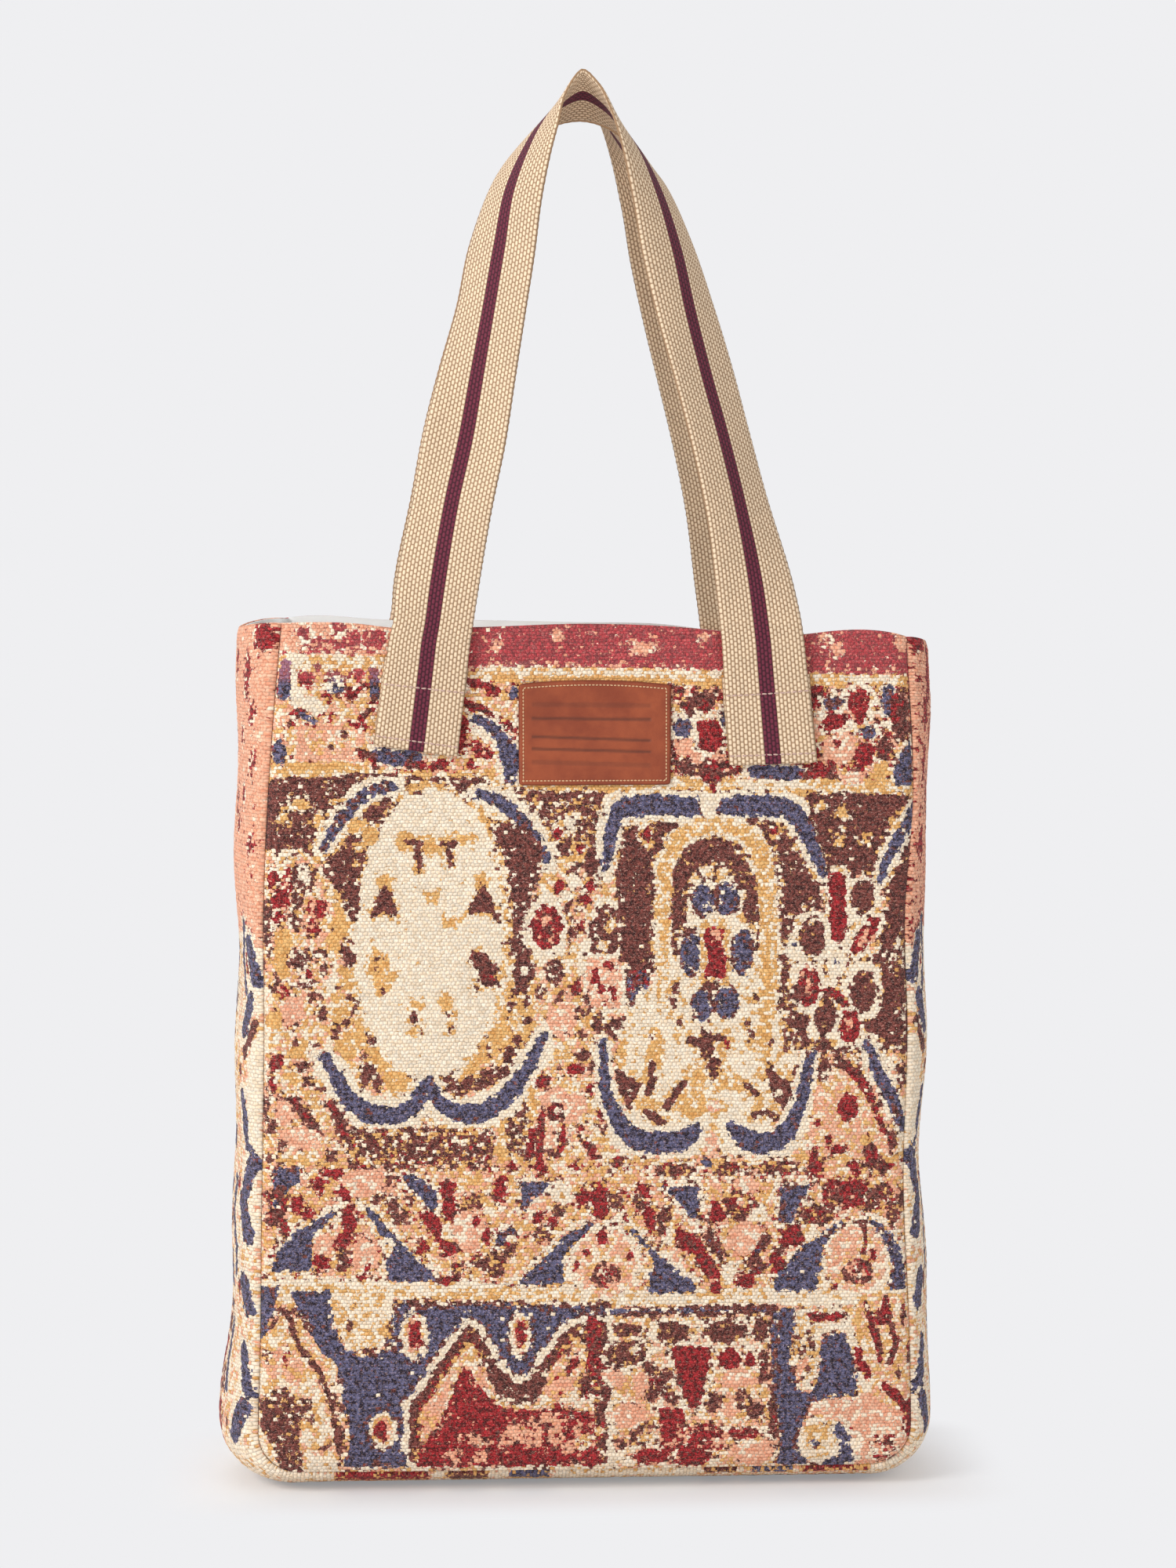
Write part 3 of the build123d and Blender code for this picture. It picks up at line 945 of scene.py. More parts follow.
# The bracketed medallion right of the middle
RIGHT_MEDALLION = """
spots cream mustard=1.3: 54,196,40,42 58,250,27,40
area brown 1 mustard=2.1 cream=2.1: 14,302 33,304 32,262 31,236 16,240
area brown .8 mustard=2.2 cream=2: 79,301 90,298 96,292 103,280 104,262 103,242 98,236 94,219 87,216
  85.5,234 86,262 84,285
stroke blue 4 halo=2.2 brown=2.2: 8.5,281,1.6 10,290,2.6 12,301,3.2 15,307,4.2 22,308.5,4.6 36,308.7,4.6
  49,308,4.4
stroke blue 4 halo=2.2 brown=2: 60,307.5,4.2 72,308.8,4.8 88,308,4.6 95,303,4.2 99.5,294,3.4
  103.5,284,2.4 106,278,1.6
area cream .6: 50,313 60,313 56.5,303 53,303
spots crimson: 56,316,2,1.4 84,297,2.4,2 27,296,2.2,4 39,259,1.6,4
spots brown: 38,298,3.4,3.6 45,297,2,2 74,301,3,2
stroke mustard 2.8 halo=1.6 cream=1.2: 34.5,222,2.2 34.5,262,2.4 36,284,2.8 41,294,3.2 50,299.5,3.4
  62,300,3.2 72,296,3.2 79,285,3.8 81,262,3.8 81.5,232,3.8 80,206,3.4 79,188,2.4
stroke brown 3.4 mustard=2.2 cream=2.4: 41.5,243,3.2 41.5,262,3.8 43,279,4.2 48,286,5.4 57,288,5.6
  66,285,4.8 71.5,276,4 74,262,3.6 74.5,246,2.8
stroke brown 1.8 cream=.8: 40,229 39,219
spots cream mustard=.5: 58,272,9.6,9
stroke brown 1.2: 50,279 54,275 / 66,279 62,275 / 58,281 58,276
ringed blue: 52,266.5,4.4,6.6 63,267,5.2,6.8 47,243,4.4,9.6 70,243,4.2,9.8 52,219.5,4.2,7 63,220.5,5,6.6
spots brown blue=.8: 57.6,267.5,1.8,5 57.6,219.5,1.8,4.6 47,252,2.4,2 70,252,2.4,2 47,234,2.4,2
  70,234,2.4,2
block mustard halo=1 cream=.2: 51.6,64,229,257.5
area crimson .4 salmon=2.4: 53,254 62.5,254 60.8,247 62.5,240 62.5,231.5 53,231.5 55,241 53,248
spots salmon: 57.5,251.5,2.6,2
spots brown mustard=2.4: 55.5,228,3.6,2.6 42.5,212,1.7,2 48,203.5,3.4,2.2 54,202,3.6,7.2 57.3,191,3.4,6
  60,205,3,2
spots brown: 72,211,1.6,2.6 74,206,1.6,3 76,222,1.4,3 82.6,202.3,1.3,1.5 30,206,1.4,1
spots crimson: 63,202.3,1.8,2.4
spots mustard cream=1: 48,179,4.4,10 31,199,1.6,5 15,198,1.6,3 26,175,3,3 60,186,2,3 69,184,3,2
area brown .8: 12,194 18,188 24,184 22,178 19,173 16,180
spots cream: 19.6,180.5,1.6,1.6
stroke brown 1.9: 29.5,193 29,184 27.5,180 / 35.6,174 40,179 44,184 / 26.5,172 31,169 34,167
area brown .8: 81,195 86,187 92,184 92,175 90,171.5 85,177 82,186
spots cream: 86.6,180,1.4,1.6
stroke brown 1.7: 71,184 77,179 / 75,170 81,171.5 87,167 / 93.5,190 95,188
stroke blue 3 halo=2.2 brown=2: 7.6,203,1.6 8.2,194,2 8.4,183,2.4 11.3,174.4,3 16,165,3.8 22,159.5,4.6
  32,158,5 42,158.5,4.8 49.5,163.5,3
stroke blue 3 halo=2.2 brown=1.9: 65,165,2.6 71,159,4.4 79,157,5 87,159.5,4.6 92.5,166,3.6 96,175,3
  98.4,186,2.6 101,201,2.2
spots salmon cream=.6: 57,174,3,3 56,158,3.6,5
"""

# The flowers between the right medallion and the right seam
RIGHT_COLUMN = """
area brown .6 mustard=2.2 cream=2.3: 101,314 150,312 150,255 139,262 128,277 108,277 107,286 100,303
block brown mustard=1.2 cream=1: 88,150,198,262
stroke blue 2.4 halo=1.8 brown=2: 148,307,2.8 140,294.5,2.8 134.5,284,2.2 131.5,275,1.4
stroke brown 3 mustard=1.8: 141,274,4 139,262,3.4 135,250,2.4
spots mustard 1.4: 113,294,1.4,2.4 115,304,1.8,1 125,293 105,308 139,300
stroke crimson 3.8 halo=1.6 brown=2.2: 112,274,4.6 112.6,267,3.2 113,258,4 112.6,250,3
spots brown halo=1.6 mustard=2.2: 123.6,267,5.6,7.8 101,249.5,6.2,9.2 124,225.5,6.2,9.6 107,216,5,9.6
spots cream blue=1.4: 93,245,3,5 101,257,1.2,2 112,239,3,5
stroke crimson 3 halo=1.6: 129,256,3 125,250,3.4 120.5,244,2.6
stroke salmon 1: 126,252 123,246 / 129,250 128,244
spots crimson halo=1.6 brown=2: 99.3,227.5,5.4,9.2
spots salmon: 99.6,228,1.5,5 97,233,1,1.4
stroke crimson 2 brown=.6: 108,225 113,224 116,219
spots crimson halo=1.4: 118.4,209,4.6,7.6
spots salmon: 118,211,1.5,3
spots brown cream=1.8: 106.8,200.5,2.2,3 131,209.5,6.4,2.6 135.5,222,2.2,9 138,207,3,4.6 94,225,2.4,5
  97,212,2,3 141,229,1.6,3
stroke blue 3 halo=1.8 brown=1.5: 126.4,201.6,2.2 131,189.4,2.8 137,177.3,3.2 143,164,2.6
area salmon cream=.7 mustard=.8: 103,181 112,192 119,193 127,181 134,166 134,152 101,152
stroke crimson 2.4 brown=1.2: 116,192,2.6 121,188,3 126,181,2.4 129.5,173,1.6 134,161,1.4
spots brown cream=1.8: 106.7,189,3,5.4 113.5,193,3,3.4 106,203,1.6,2 141.5,186,2,7 139,170,1.4,4
area crimson .8 brown=1.6: 113,173 116,179 121,178 121.5,171 118,166 115,168
spots crimson brown=1.4: 104,166,1.5,2 109,158,2,3 127,160,1.5,2.4 102.5,150,2.6,7 113,154,5,2.4
  120.7,147,2,3
spots brown crimson=.8: 128,151,3.6,6 137,158,2,5 133,146,2,3
spots brown halo=.8 mustard=1.6 crimson=1.6: 14.5,149.5,3.6,3.2 40,146,9,3.2 63,146,6.4,3.2 85,146,10,3.2
spots blue: 54,148.5,2.6,2.4
"""

# The curling leaves of the lower border
LOWER_BORDER = """
area blue .6 brown=1.6: -138.5,148 -127,148 -127.5,142 -133,138 -134.5,131 -138.5,131
stroke brown 1.5 crimson=.6: -141,134 -137,138 -134,133 -138,127 / -141,124 -136,126 -134,119
leaf blue: -140,102 -137.3,109.4 -131.8,117.3 -124,122 -113,128.5 -111.5,127 -117.6,121.5 -122.5,117
  -122.5,102 / -99.5,131 -96,130 -89,121.5 -84.4,115.7 -76.5,107.8 -68,99 -68,96.8 -87.5,96.8 -89.2,104.6
  -87.5,112.6 -92.3,120 / 2.6,122 1,119 -5.4,114 -10,107.8 -10.5,95 -29,95 -29,97 -19.7,104.6 -13.3,112.6
  -7,117.3 / 15.6,123 21,119.5 27,113 32,107 39,102 49.5,93.3 48,90.5 29,90.5 28.6,96 30.5,104 27,111
  21,117 / 115.5,122 113,118 107,111 105,102 104.4,90.5 84.5,90.5 86,97 94.7,107.3 105,115 / 126,123.5
  130,121.5 135,117.8 140,110.8 143.5,102 144,90.5 137,90.5 138,102 134,112.6 129.5,119
area blue halo=.8 brown=2: -83,144 -78,144.5 -72,142 -67,137 -65.5,130 -68,127.6 -72,132 -79,139
area blue halo=.8 brown=2: -29,141 -13,141 -20,135 -25,127.6 -29,128
area blue halo=.8 brown=2: 32.5,138.5 50,138.5 50.4,123 47,124 43,130
area blue halo=.8 brown=1.2: 87,137.9 100,137.9 99,134 95,128 93,121.5 86.5,121.5 87,131
stroke blue 1.8 halo=.8 brown=1: -33.5,119 -37.5,117 -39,113
stroke crimson 2.2 brown=1.3: -62,139 -61.5,131 -58.5,125 / -70.5,126 -66,118 -61,110.5 / -105,128
  -106,119 -109,112 / 28,127 30,121 / 58.6,129 58.6,123
spots crimson: -118.7,105.5,3.2,4 -128.6,131.6,2,3 -113,146,4,2.2 -107,137,3,3 -119,141,1.8,3
  -124,127,1.8,2
spots brown blue=1.6: -108,108,2,4.6 -97,113,1.5,1.6 -93,134,1.8,2 -86,131,2,2.6 -82,125.5,3,2
  -78,134,1.6,1.8 -100,101,1.4,1.4
spots salmon cream=.5: -98.5,141,9,5.4 -118,113,4,4.6 -98,108,5,8 -53,120,7,8 -22,131,3,3 71,139,4,5
  72,114,6.6,7
spots crimson 1.6: -49.6,123,2.2,2.2 -45,117,1.8,2.2 -97,103 -99,99 -38,138,2,4.6 -62,96,2,1.8
  -73,112,1.8,2.4 -21,125.6 -15,122
spots brown 1.8 mustard=1: -48,132.4,6,2.4 -19.6,118,3.4,2.6 -47,105.6,3.4,1.6 -41,104,3.4,5 -34,110,2,2
  -57,101,1.4,2 -12,128 -88,142,1.4,2
stroke crimson 2.8 brown=1: 41,116 48,112 55,102 57.5,98.6
stroke brown 1.8 blue=1.6 crimson=1.4: 54.5,116 61,106 / 80,114 74.5,104 / 76,100 83,103 87,108
spots crimson brown=1: 93,115,5,4.4 72,94.5,3.6,3.2 58,92,2,3 86,102,3,4
area crimson .6 brown=.8 salmon=1.6: 109,139 126,139 124,130 114,128 107,131
spots brown mustard=.8 crimson=.8: 103,124,7,4 111,130,3,3 133,135,3,3 128,131,2,4 138,125,2,4
  143,133,1.6,3
"""

# The rosettes and buds between the leaves
LOWER_FLOWERS = """
rosette salmon: 8.5,104 121.5,104
spots crimson 1.8: 7.4,115,3,4.2 20,107.5,2,2.6 -4,103 0,108 129.4,106.4,2,3 112,92,1.6,3
stroke brown 1.2 crimson=.2: 125,121 125.6,114 124.6,107
spots crimson brown=1.4: 6,132,3.6,6.6 -1,133,2,3 26,136,2,3
spots brown mustard=1.2: 13,132,3.6,2.6 24,131,1.6,4 33,121,2,4 36,126,1.4,2
spots brown crimson=1 mustard=1.8: 68.6,130,6,6.4
spots cream salmon=.6: 69.4,131,2.2,2.2
spots cream 2.4 mustard=.4: -88,112 -62,118 -43,131 -10,135 77,125 38,116 64,99 100,118
"""

# The dark field at the bottom left with its flame and buds
BOTTOM_LEFT = """
block cream mustard=1.2 salmon=2: -150,-112,10,90
area blue 1 brown=1.6: -148,94 -137,94 -140,84 -145,71 -148,70
area blue .6 brown=1.9 cream=2.9: -131,92 -114,93 -113,78 -108,66 -98,62 -90,66 -86,76 -85,87 11,84 10,80
  -4,79 -12,74 -18,65 -27,52 -33,53 -41,64 -47,75 -53,80 -60,71 -68,60 -74,50 -81,41 -81,22 -79,13
  -108,13 -105,25 -108,43 -111,60 -119,67 -126,78
stroke brown 1.3 cream=1: -84,87.6 -40,86.6 11,85
area cream .4 mustard=.5: -113.6,96 -87.6,96 -88,76 -92,67 -99,64 -106,67 -112,78
spots brown mustard=.8: -97.5,65,4,2 -88,74,1.6,5 -106,78,1.6,3 -104,86,1.4,2
flame crimson: -80.8,13 -81,41 -73.8,49.7 -67.7,60 -60,70.6 -53,79.4 -46.9,75 -40.8,63.7 -33,53
  -26.9,51.4 -18.2,65.4 -9.5,75.9 -1,79.4 11,80 11,12
stroke brown 4 cream=2: -44,60,3 -35,46,4.6 -27,43,4.6 -19,56,4
stroke cream 1.3 mustard=.6: -46,47 -40,43 -35,39.6 -22,40 -10,44 6,43
area crimson .8 salmon=2 brown=2: -54,58 -49,50 -44,44 -38,39 -30,37.5 -12,38 4,36 4,13 -75,13 -74,21
  -67,29 -62,38 -58,50
spots salmon mustard=1 crimson=1.6: -70,34,4.6,6 -63,45,1.4,4 -29,29.5,4.4,2.6 -16,34,4.4,2 -14,27,2.4,4
  -46,55,2,4 -13,50,5,7 -6,21,3,2
scatter salmon 1.3 count=12 seed=61: -60,0,15,27
spots cream mustard=.4 crimson=1.4: 0,24,4,3 6,30,3,3 -46,23,1.4,1
spots brown crimson=.6 cream=1.8: 4,70,4,6 8,58,3.4,8 0,47,3,4 6,36,2,5 -8,63,1.6,2
spots crimson 1.8: -5,59,2.4,3 -8,56 2,61,2,5 -13,40,3,1.6
bud crimson: -76.8,72.4,6.4,11,.6 -29.5,72.4,5,10,.6 -90.7,29.6,6.4,8.4,-1.2
stroke brown 1.7: -134,85 -127.7,67 -119,56.7 -113.8,42.7 -112,32 -110.3,20
stroke brown 1.5: -136,85 -140,76 / -130,85 -124,76
area brown mustard=1.6 cream=1.5: -147,44 -140,48 -134,50 -128,44 -122,44 -121,30 -126,36 -128,28 -126,10
  -136,8 -140,22 -146,32
spots crimson: -133.8,62,1.8,4.6
spots salmon mustard=.6: -130,57,3.4,5 -140,58,2,4
stroke brown 1: -145,67 -140,64 / -144,63 -141,60 / -119,20 -114,24
block blue brown=1.2: -105,-80,12.5,18.5
"""

# The field of small shapes at the bottom right with its curl and its leaf
BOTTOM_RIGHT = """
block brown blue=.3 cream=1: -2,86,80.4,83.6
spots brown halo=.8 mustard=2: 18,73.5,7.6,3.6 39,72.5,7.6,5 62,72,10.6,5.4 78.6,73,3.6,5.6 1,72,3,4
stroke crimson 2.6 brown=1: 3,77 3.4,66 2,56
spots brown halo=1 mustard=1.8: 18,63,9,6
spots cream: 22.4,65,2.2,2
area crimson .6 halo=1 brown=1.9: 38.5,65.5 56,65 55,57 52.6,50 52,42 48,37.6 44.5,43 42,52
spots crimson halo=1: 64.6,59.5,5.4,5 73.8,59.6,2.6,3.8
spots salmon cream=.9: 11,52,5,4.6 26,50,2.6,5 68.6,51.5,6.6,4 18,35,8.6,4 74,18,8,5 66,38,3,3
stroke brown 1.9 crimson=1.2 cream=1.8: -2,51 4,54 9,47 8,42 / 27,57 31,49 36,52 / 29,44 34,47 39,41 /
  79,60 80,52 / 84,38 86,26
scatter brown 1 count=16 seed=62: 52,79,33,45
spots brown 1.1: 6,36,2.4,5 12,24 16,22 21,25 27,22 29,30 10,31 24,30
area crimson .4 halo=.8 salmon=2 brown=2.2: 33,38 43.6,38 44,28 55,22 50,13 24,13 26,18 34,21
spots crimson halo=.8 brown=1.6 salmon=2: 2,16,6,4.6 29,16,8,4 48,16,8,5.4 54,26,8,3.4 72,25.5,5,2.4
stroke crimson 2.2 salmon=1.4 brown=1.6: 46,28 56,29 62,25 / 66,26 76,26.5 / 48,22 60,20 / -4,18 5,15
area blue .6 brown=1.9 cream=2.9: 84.5,82 94,82 92.6,70 91.6,58 94,48 99,43 104,47 106,56 106,68 111,71
  116,70.5 120,60 122,48 121.5,42.5 109,42 100,38 97,31 95.5,24 98,14 100,11 87,11 87.5,28 86,46 84,62
stroke brown 1.4 blue=.6: 84.6,82 84,60 85.6,40
area cream mustard=.6 brown=2: 94,80 104,80 105,68 104.6,56 99,46 93.5,58
spots salmon: 96,54,1.8,3 99,58,2,3
spots brown 1.2: 97,63 100,55 95,69 102,66,1.2,2.6
block mustard salmon=0 cream=.2: 123,150,10,88
area salmon .8 cream=.5 crimson=2.2: 101,38 110,41 124,41 132,36 144,32 144,12 122,12 120,26 112,32
stroke cream 1.4: 107,72 113,74.4 118,73 121.6,64 124,48
spots cream: 104.2,21.8,9.4,9.8
spots mustard cream=.6: 104.2,21.8,7.4,7.8
spots brown blue=.2 cream=1: 103,21,2.4,2.2
stroke blue 3 halo=1.4: 113.5,28,1.8 117,22,2.6 117.4,14,3 109,9.6,3
stroke crimson 2 halo=.8 brown=1.4: 101.6,78.6 108,78 114,78.4
stroke crimson 2.2 halo=.8: 122.6,62 124,57 127,52
stroke brown 1.8 crimson=.8: 126,84,1.4 129,74,2.2 131.6,66,2 132.6,58,1.2 / 135,86 137,76 140,66 137,57
stroke crimson 2.4 brown=1.8: 135,46 140,42 144,36 / 146,38 147,24 / 134,82 133,76
scatter brown 1 count=12 seed=63: 127,147,12,22
spots brown crimson=.6: 143,80,1.6,6 146,62,1.4,5 141,52,1.3,3
"""

# The worn marks down the side strip
SIDE_MARKS = """
spots crimson: -50,384,4,6 -40,366,2,7 -46,350,1.3,3 -34,340,1.5,3 -47,327,1.3,3 -38,313,1.4,3
  -30,300,1.6,3 -48,292,1.5,3 -20,372,3,6 -12,338,3,5 -22,310,2,5 2,362,3,7 10,320,4,6 24,345,3,6
  34,300,3,6 40,372,3,6 -5,284,3,5 28,275,4,6 -44,240,3.6,5 -46,238,3.6,4.1 -38,140,3,4
stroke blue 2.3 halo=1.3: -40,256 -36,240 -41,228 -47,221 / -34,141 -31,125 -37,110 -35,98 /
  -30,76 -27,60 -31,44
stroke blue 3 halo=1.3: -42,179 -46,165 -50,155 / -47,66 -50,55 -52,44
stroke brown 3: -51,212 -47,203 -44,198
stroke cream 2.4: -52,202 -51,160
stroke blue 4 halo=1.6 brown=2: -46,248 -52,232 / -48,222 -42,208 / -52,150 -45,132 -50,116 /
  -46,96 -50,84 / -50,40 -44,26
spots brown 3 crimson=1.2: -38,190 -40,92,2,4 -36,30,2,3
"""


CREAM, MUSTARD, SALMON, CRIMSON, BROWN, BLUE = Ink


class CarpetPrint(Painter):
    """A worn oriental-carpet pattern in bands, drawn band by band as simple shapes.

    The coordinates are millimetres on the panel: x from its middle, z up from the floor. On the
    side and base strip, x runs across the strip.
    """

    STRIP_SHIFT = 57.0
    SIDE_BORDER = 250.0
    FRONT_EDGE = 28.0
    BASE_TOP = 16.0
    BASE_MARGIN = 14.0
    BASE_HALF = 50.0
    OUTSIDE = -3.0
    DASH_PERIOD = 22.0

    def front(self) -> dict[str, np.ndarray]:
        """Draws the whole panel and returns the fields that the cloth's material reads."""
        for band in (
            GROUNDS, TOP_BAND, BORDER_LEFT, BORDER_RIGHT, LEFT_MEDALLION, LEFT_COLUMN, BETWEEN,
            RIGHT_MEDALLION, RIGHT_COLUMN, LOWER_BORDER, LOWER_FLOWERS, BOTTOM_LEFT, BOTTOM_RIGHT,
        ):
            self.draw(band)
        return self.stored()

    def leaf(self, ink: Ink, routes: str) -> None:
        """Lays curled leaves with a wide cream edge."""
        for route in routes.split("/"):
            self.area(Ink.CREAM, route, grow=1.6, mustard=0.8)
            self.area(ink, route, grow=0.5, brown=1.9, cream=2.8)

    def flame(self, ink: Ink, route: str) -> None:
        """Lays a flame in three layers, flecked with its ink."""
        self.area(Ink.CREAM, route, grow=1.2)
        self.area(Ink.BROWN, route, grow=-1.8, mustard=2.2, **{ink.name: 2.0})
        self.area(Ink.MUSTARD, route, grow=-7, cream=0.3, salmon=0.5, brown=2)

    def ringed(self, ink: Ink, places: str) -> None:
        """Lays petals, each with a brown ring and a cream line round it."""
        for x, z, wide, tall in self.points(places):
            self.spot(Ink.BROWN, x, z, wide + 1, tall + 1, halo=1.2)
            self.spot(ink, x, z, wide, tall, brown=2.2, cream=2.6)

    def rosette(self, ink: Ink, places: str) -> None:
        """Lays round flowers with a dark heart and two light dots."""
        for x, z in self.points(places):
            self.spot(ink, x, z, 13.5, 15, halo=1.4, cream=0.9, mustard=1.4)
            self.spot(Ink.BROWN, x + 0.5, z - 5.5, 7, 6.4, salmon=1.4, crimson=1.4)
            self.spots(Ink.CREAM, f"{x},{z - 4} {x + 2},{z - 7}", 1.2)

    def bud(self, ink: Ink, places: str) -> None:
        """Lays buds in three layers, the inmost one moved a little to the side."""
        for x, z, wide, tall, aside in self.points(places):
            self.spot(Ink.CREAM, x, z, wide, tall, mustard=1.8)
            self.spot(Ink.SALMON, x, z, wide * 0.62, tall * 0.7)
            self.spot(ink, x + aside, z, wide * 0.48, tall * 0.62, brown=1.8)

    def strip(self, places: np.ndarray) -> dict[str, np.ndarray]:
        """Draws the side and base strip: worn salmon above, the panel's bands below.

        Args:
            places: where each point of the strip lies along X.

        Returns:
            The fields that the cloth's material reads.
        """
        across, height = self.x, self.z
        self.x = across + self.STRIP_SHIFT
        for band in (GROUNDS, BETWEEN, RIGHT_MEDALLION, LOWER_BORDER, LOWER_FLOWERS, BOTTOM_RIGHT):
            self.draw(band)
        self.x = across
        near_front = -self.FRONT_EDGE - across + 3 * waves(across, height, 40, 71)
        below = self.SIDE_BORDER + 2 - height
        self.lay(Ink.CREAM, np.minimum(near_front, below), salmon=0.5, mustard=0.5)
        upper = height - self.SIDE_BORDER - 4 * waves(across, height, 50, 72)
        self.lay(Ink.CREAM, upper + 3)
        self.lay(Ink.SALMON, upper, crimson=1.9, cream=2.2)
        self.lay(Ink.SALMON, np.minimum(upper, places), crimson=1, brown=2.2)
        self.draw(SIDE_MARKS)
        self.base(places)
        return self.stored()

    def base(self, places: np.ndarray) -> None:
        """Draws the base of the strip: cream, with broken stripes of the inks across it."""
        across, height = self.x, self.z
        near = height < self.BASE_TOP + self.BASE_MARGIN
        inside = np.minimum(self.BASE_TOP - height, self.BASE_HALF - np.abs(across)) + 3
        self.lay(Ink.CREAM, np.where(near, inside, self.OUTSIDE), mustard=0.7, salmon=1.2)
        course = np.where(near, places, 0.0)
        side = np.where(places < 0, -1.0, 1.0)
        half = self.DASH_PERIOD / 2
        dashes = 6.5 - np.abs((across + side * 3) % self.DASH_PERIOD - half)
        for start, end, ink in (
            (-112, -70, Ink.CRIMSON), (-62, -44, Ink.BROWN), (-34, -16, Ink.BLUE), (-10, 48, Ink.CREAM),
            (54, 68, Ink.BROWN), (74, 94, Ink.BLUE), (97, 128, Ink.CRIMSON),
        ):
            stripe = np.minimum(np.minimum(course - start, end - course), dashes)
            self.lay(ink, np.where(height < self.BASE_TOP, stripe, self.OUTSIDE), mustard=1)


# The bag's form


@dataclass
class BagForm:
    """The bag's shape: where its seams, rims and faces lie, in millimetres.

    Each curve is a row of places and a row of values there, read from the photograph's outline.
    """

    depth_half: float = 49.0
    bottom: float = 10.0
    nominal_rim: float = 390.0
    corner_radius: float = 18.0
    seam_set_back: float = 2.8
    seam_roll: float = 6.5
    fullness: float = 2.2
    full_below: float = 300.0
    unevenness: float = 0.9
    rim_sag: float = 1.6
    sag_middle: float = 15.0
    sag_half: float = 30.0
    rim_zone: float = 60.0
    nominal_width: float = 296.0
    strip_girth: float = 104.0
    strip_half: float = 55.0
    strip_ripple: float = 1.3
    strip_rim_dip: float = 4.5
    left_seam: Curve = (
        (0, 33, 68, 117, 208, 260, 330, 390),
        (-147, -146.8, -145.7, -145, -143.3, -143.3, -139.8, -134.6),
    )
    right_seam: Curve = (
        (0, 33, 68, 138, 208, 260, 312, 372, 390),
        (147.5, 147.5, 146.8, 143.6, 145, 143.6, 147, 144.5, 143.5),
    )
    front_rim: Curve = (
        (-150, -133, -100, -88, -50, 0, 40, 62, 97, 110, 125, 135, 143, 150),
        (389, 390, 389.5, 388, 388, 389.3, 388, 386, 384.5, 386, 386.5, 385.5, 383.5, 380),
    )
    back_rim: Curve = (
        (-150, -120, -88, -50, 0, 40, 70, 100, 150),
        (388, 390.6, 388.6, 388.4, 387.4, 386.4, 383, 381.5, 380.5),
    )
    left_bulge: Curve = ((33, 120, 208, 260, 330, 390), (16.5, 13.0, 12.9, 12.4, 15.2, 20.5))
    right_bulge: Curve = ((33, 120, 208, 312, 390), (12.6, 12.0, 12.2, 11.2, 15))

    def seam(self, z: np.ndarray, side: int) -> np.ndarray:
        """Gives a side seam's place along X.

        Args:
            z: heights.
            side: -1 for the left seam, 1 for the right one.

        Returns:
            The seam's x at each height, with the bottom corner rounded.
        """
        straight = curve_through(z, *(self.left_seam if side < 0 else self.right_seam))
        below = np.clip((self.bottom + self.corner_radius - z) / self.corner_radius, 0, 1)
        return straight - side * self.corner_radius * (1 - np.sqrt(1 - below**2))

    def rim(self, x: np.ndarray, face: int) -> np.ndarray:
        """Gives the rim's height along a panel: face is -1 for the front, 1 for the back."""
        return curve_through(x, *(self.front_rim if face < 0 else self.back_rim))

    def near_rim(self, z: np.ndarray) -> np.ndarray:
        """Gives 0 below the rim's zone, rising to 1 at the rim."""
        return ease((z - self.nominal_rim + self.rim_zone) / self.rim_zone)

    def swell(self, x: np.ndarray, z: np.ndarray, face: int) -> np.ndarray:
        """Gives how far a panel's face stands out of its flat plane."""
        left, right = self.seam(z, -1), self.seam(z, 1)
        edge = np.clip(np.minimum(np.minimum(x - left, right - x), z - self.bottom), 0, None)
        roll = -self.seam_set_back * (1 - np.sqrt(ease(edge / self.seam_roll)))
        arch = np.sin(math.pi * np.clip((x - left) / (right - left), 0, 1))
        full = self.fullness * arch * ease((self.full_below - z) / self.full_below)
        soft = self.unevenness * waves(x, z, 105, 40 + face) * ease(edge / 40)
        dip = np.exp(-(((x - self.sag_middle) / self.sag_half) ** 2))
        return roll + full + soft - self.rim_sag * self.near_rim(z) * dip

    def face_y(self, x: np.ndarray, z: np.ndarray, face: int) -> np.ndarray:
        """Gives the depth of a panel's outer face."""
        return face * (self.depth_half + self.swell(x, z, face))

    def corner_turn(self, cell: float) -> np.ndarray:
        """Gives the angles of a bottom corner's quarter turn, about a cell apart."""
        return np.linspace(0, math.pi / 2, int(self.corner_radius * 1.57 / cell) + 1)

    def panel_grid(self, face: int, cell: float, inset: float) -> tuple[np.ndarray, np.ndarray]:
        """Lays a grid over one panel.

        Args:
            face: -1 for the front panel, 1 for the back one.
            cell: the grid's cell size.
            inset: how far inside the outer cloth the grid lies.

        Returns:
            The points, and the flat cloth's coordinates.
        """
        low = self.bottom + self.corner_radius * (1 - np.cos(self.corner_turn(cell)))
        low[0] = self.bottom + 0.01
        height = self.nominal_rim - low[-1]
        rest = np.linspace(low[-1], self.nominal_rim, int(height / cell) + 1)[1:]
        level = np.concatenate([low, rest])[:, None]
        share = np.linspace(0, 1, int(self.nominal_width / cell) + 1)[None, :]
        if face > 0:
            share = 1 - share
        left = self.seam(level, -1) + inset
        right = self.seam(level, 1) - inset
        x = left + share * (right - left)
        rise = (self.rim(x, face) - self.bottom) / (self.nominal_rim - self.bottom)
        z = self.bottom + (level - self.bottom) * rise + 0 * x
        y = self.face_y(x, z, face) - face * inset
        return np.stack([x, y, z], axis=-1), np.stack([x, z], axis=-1)

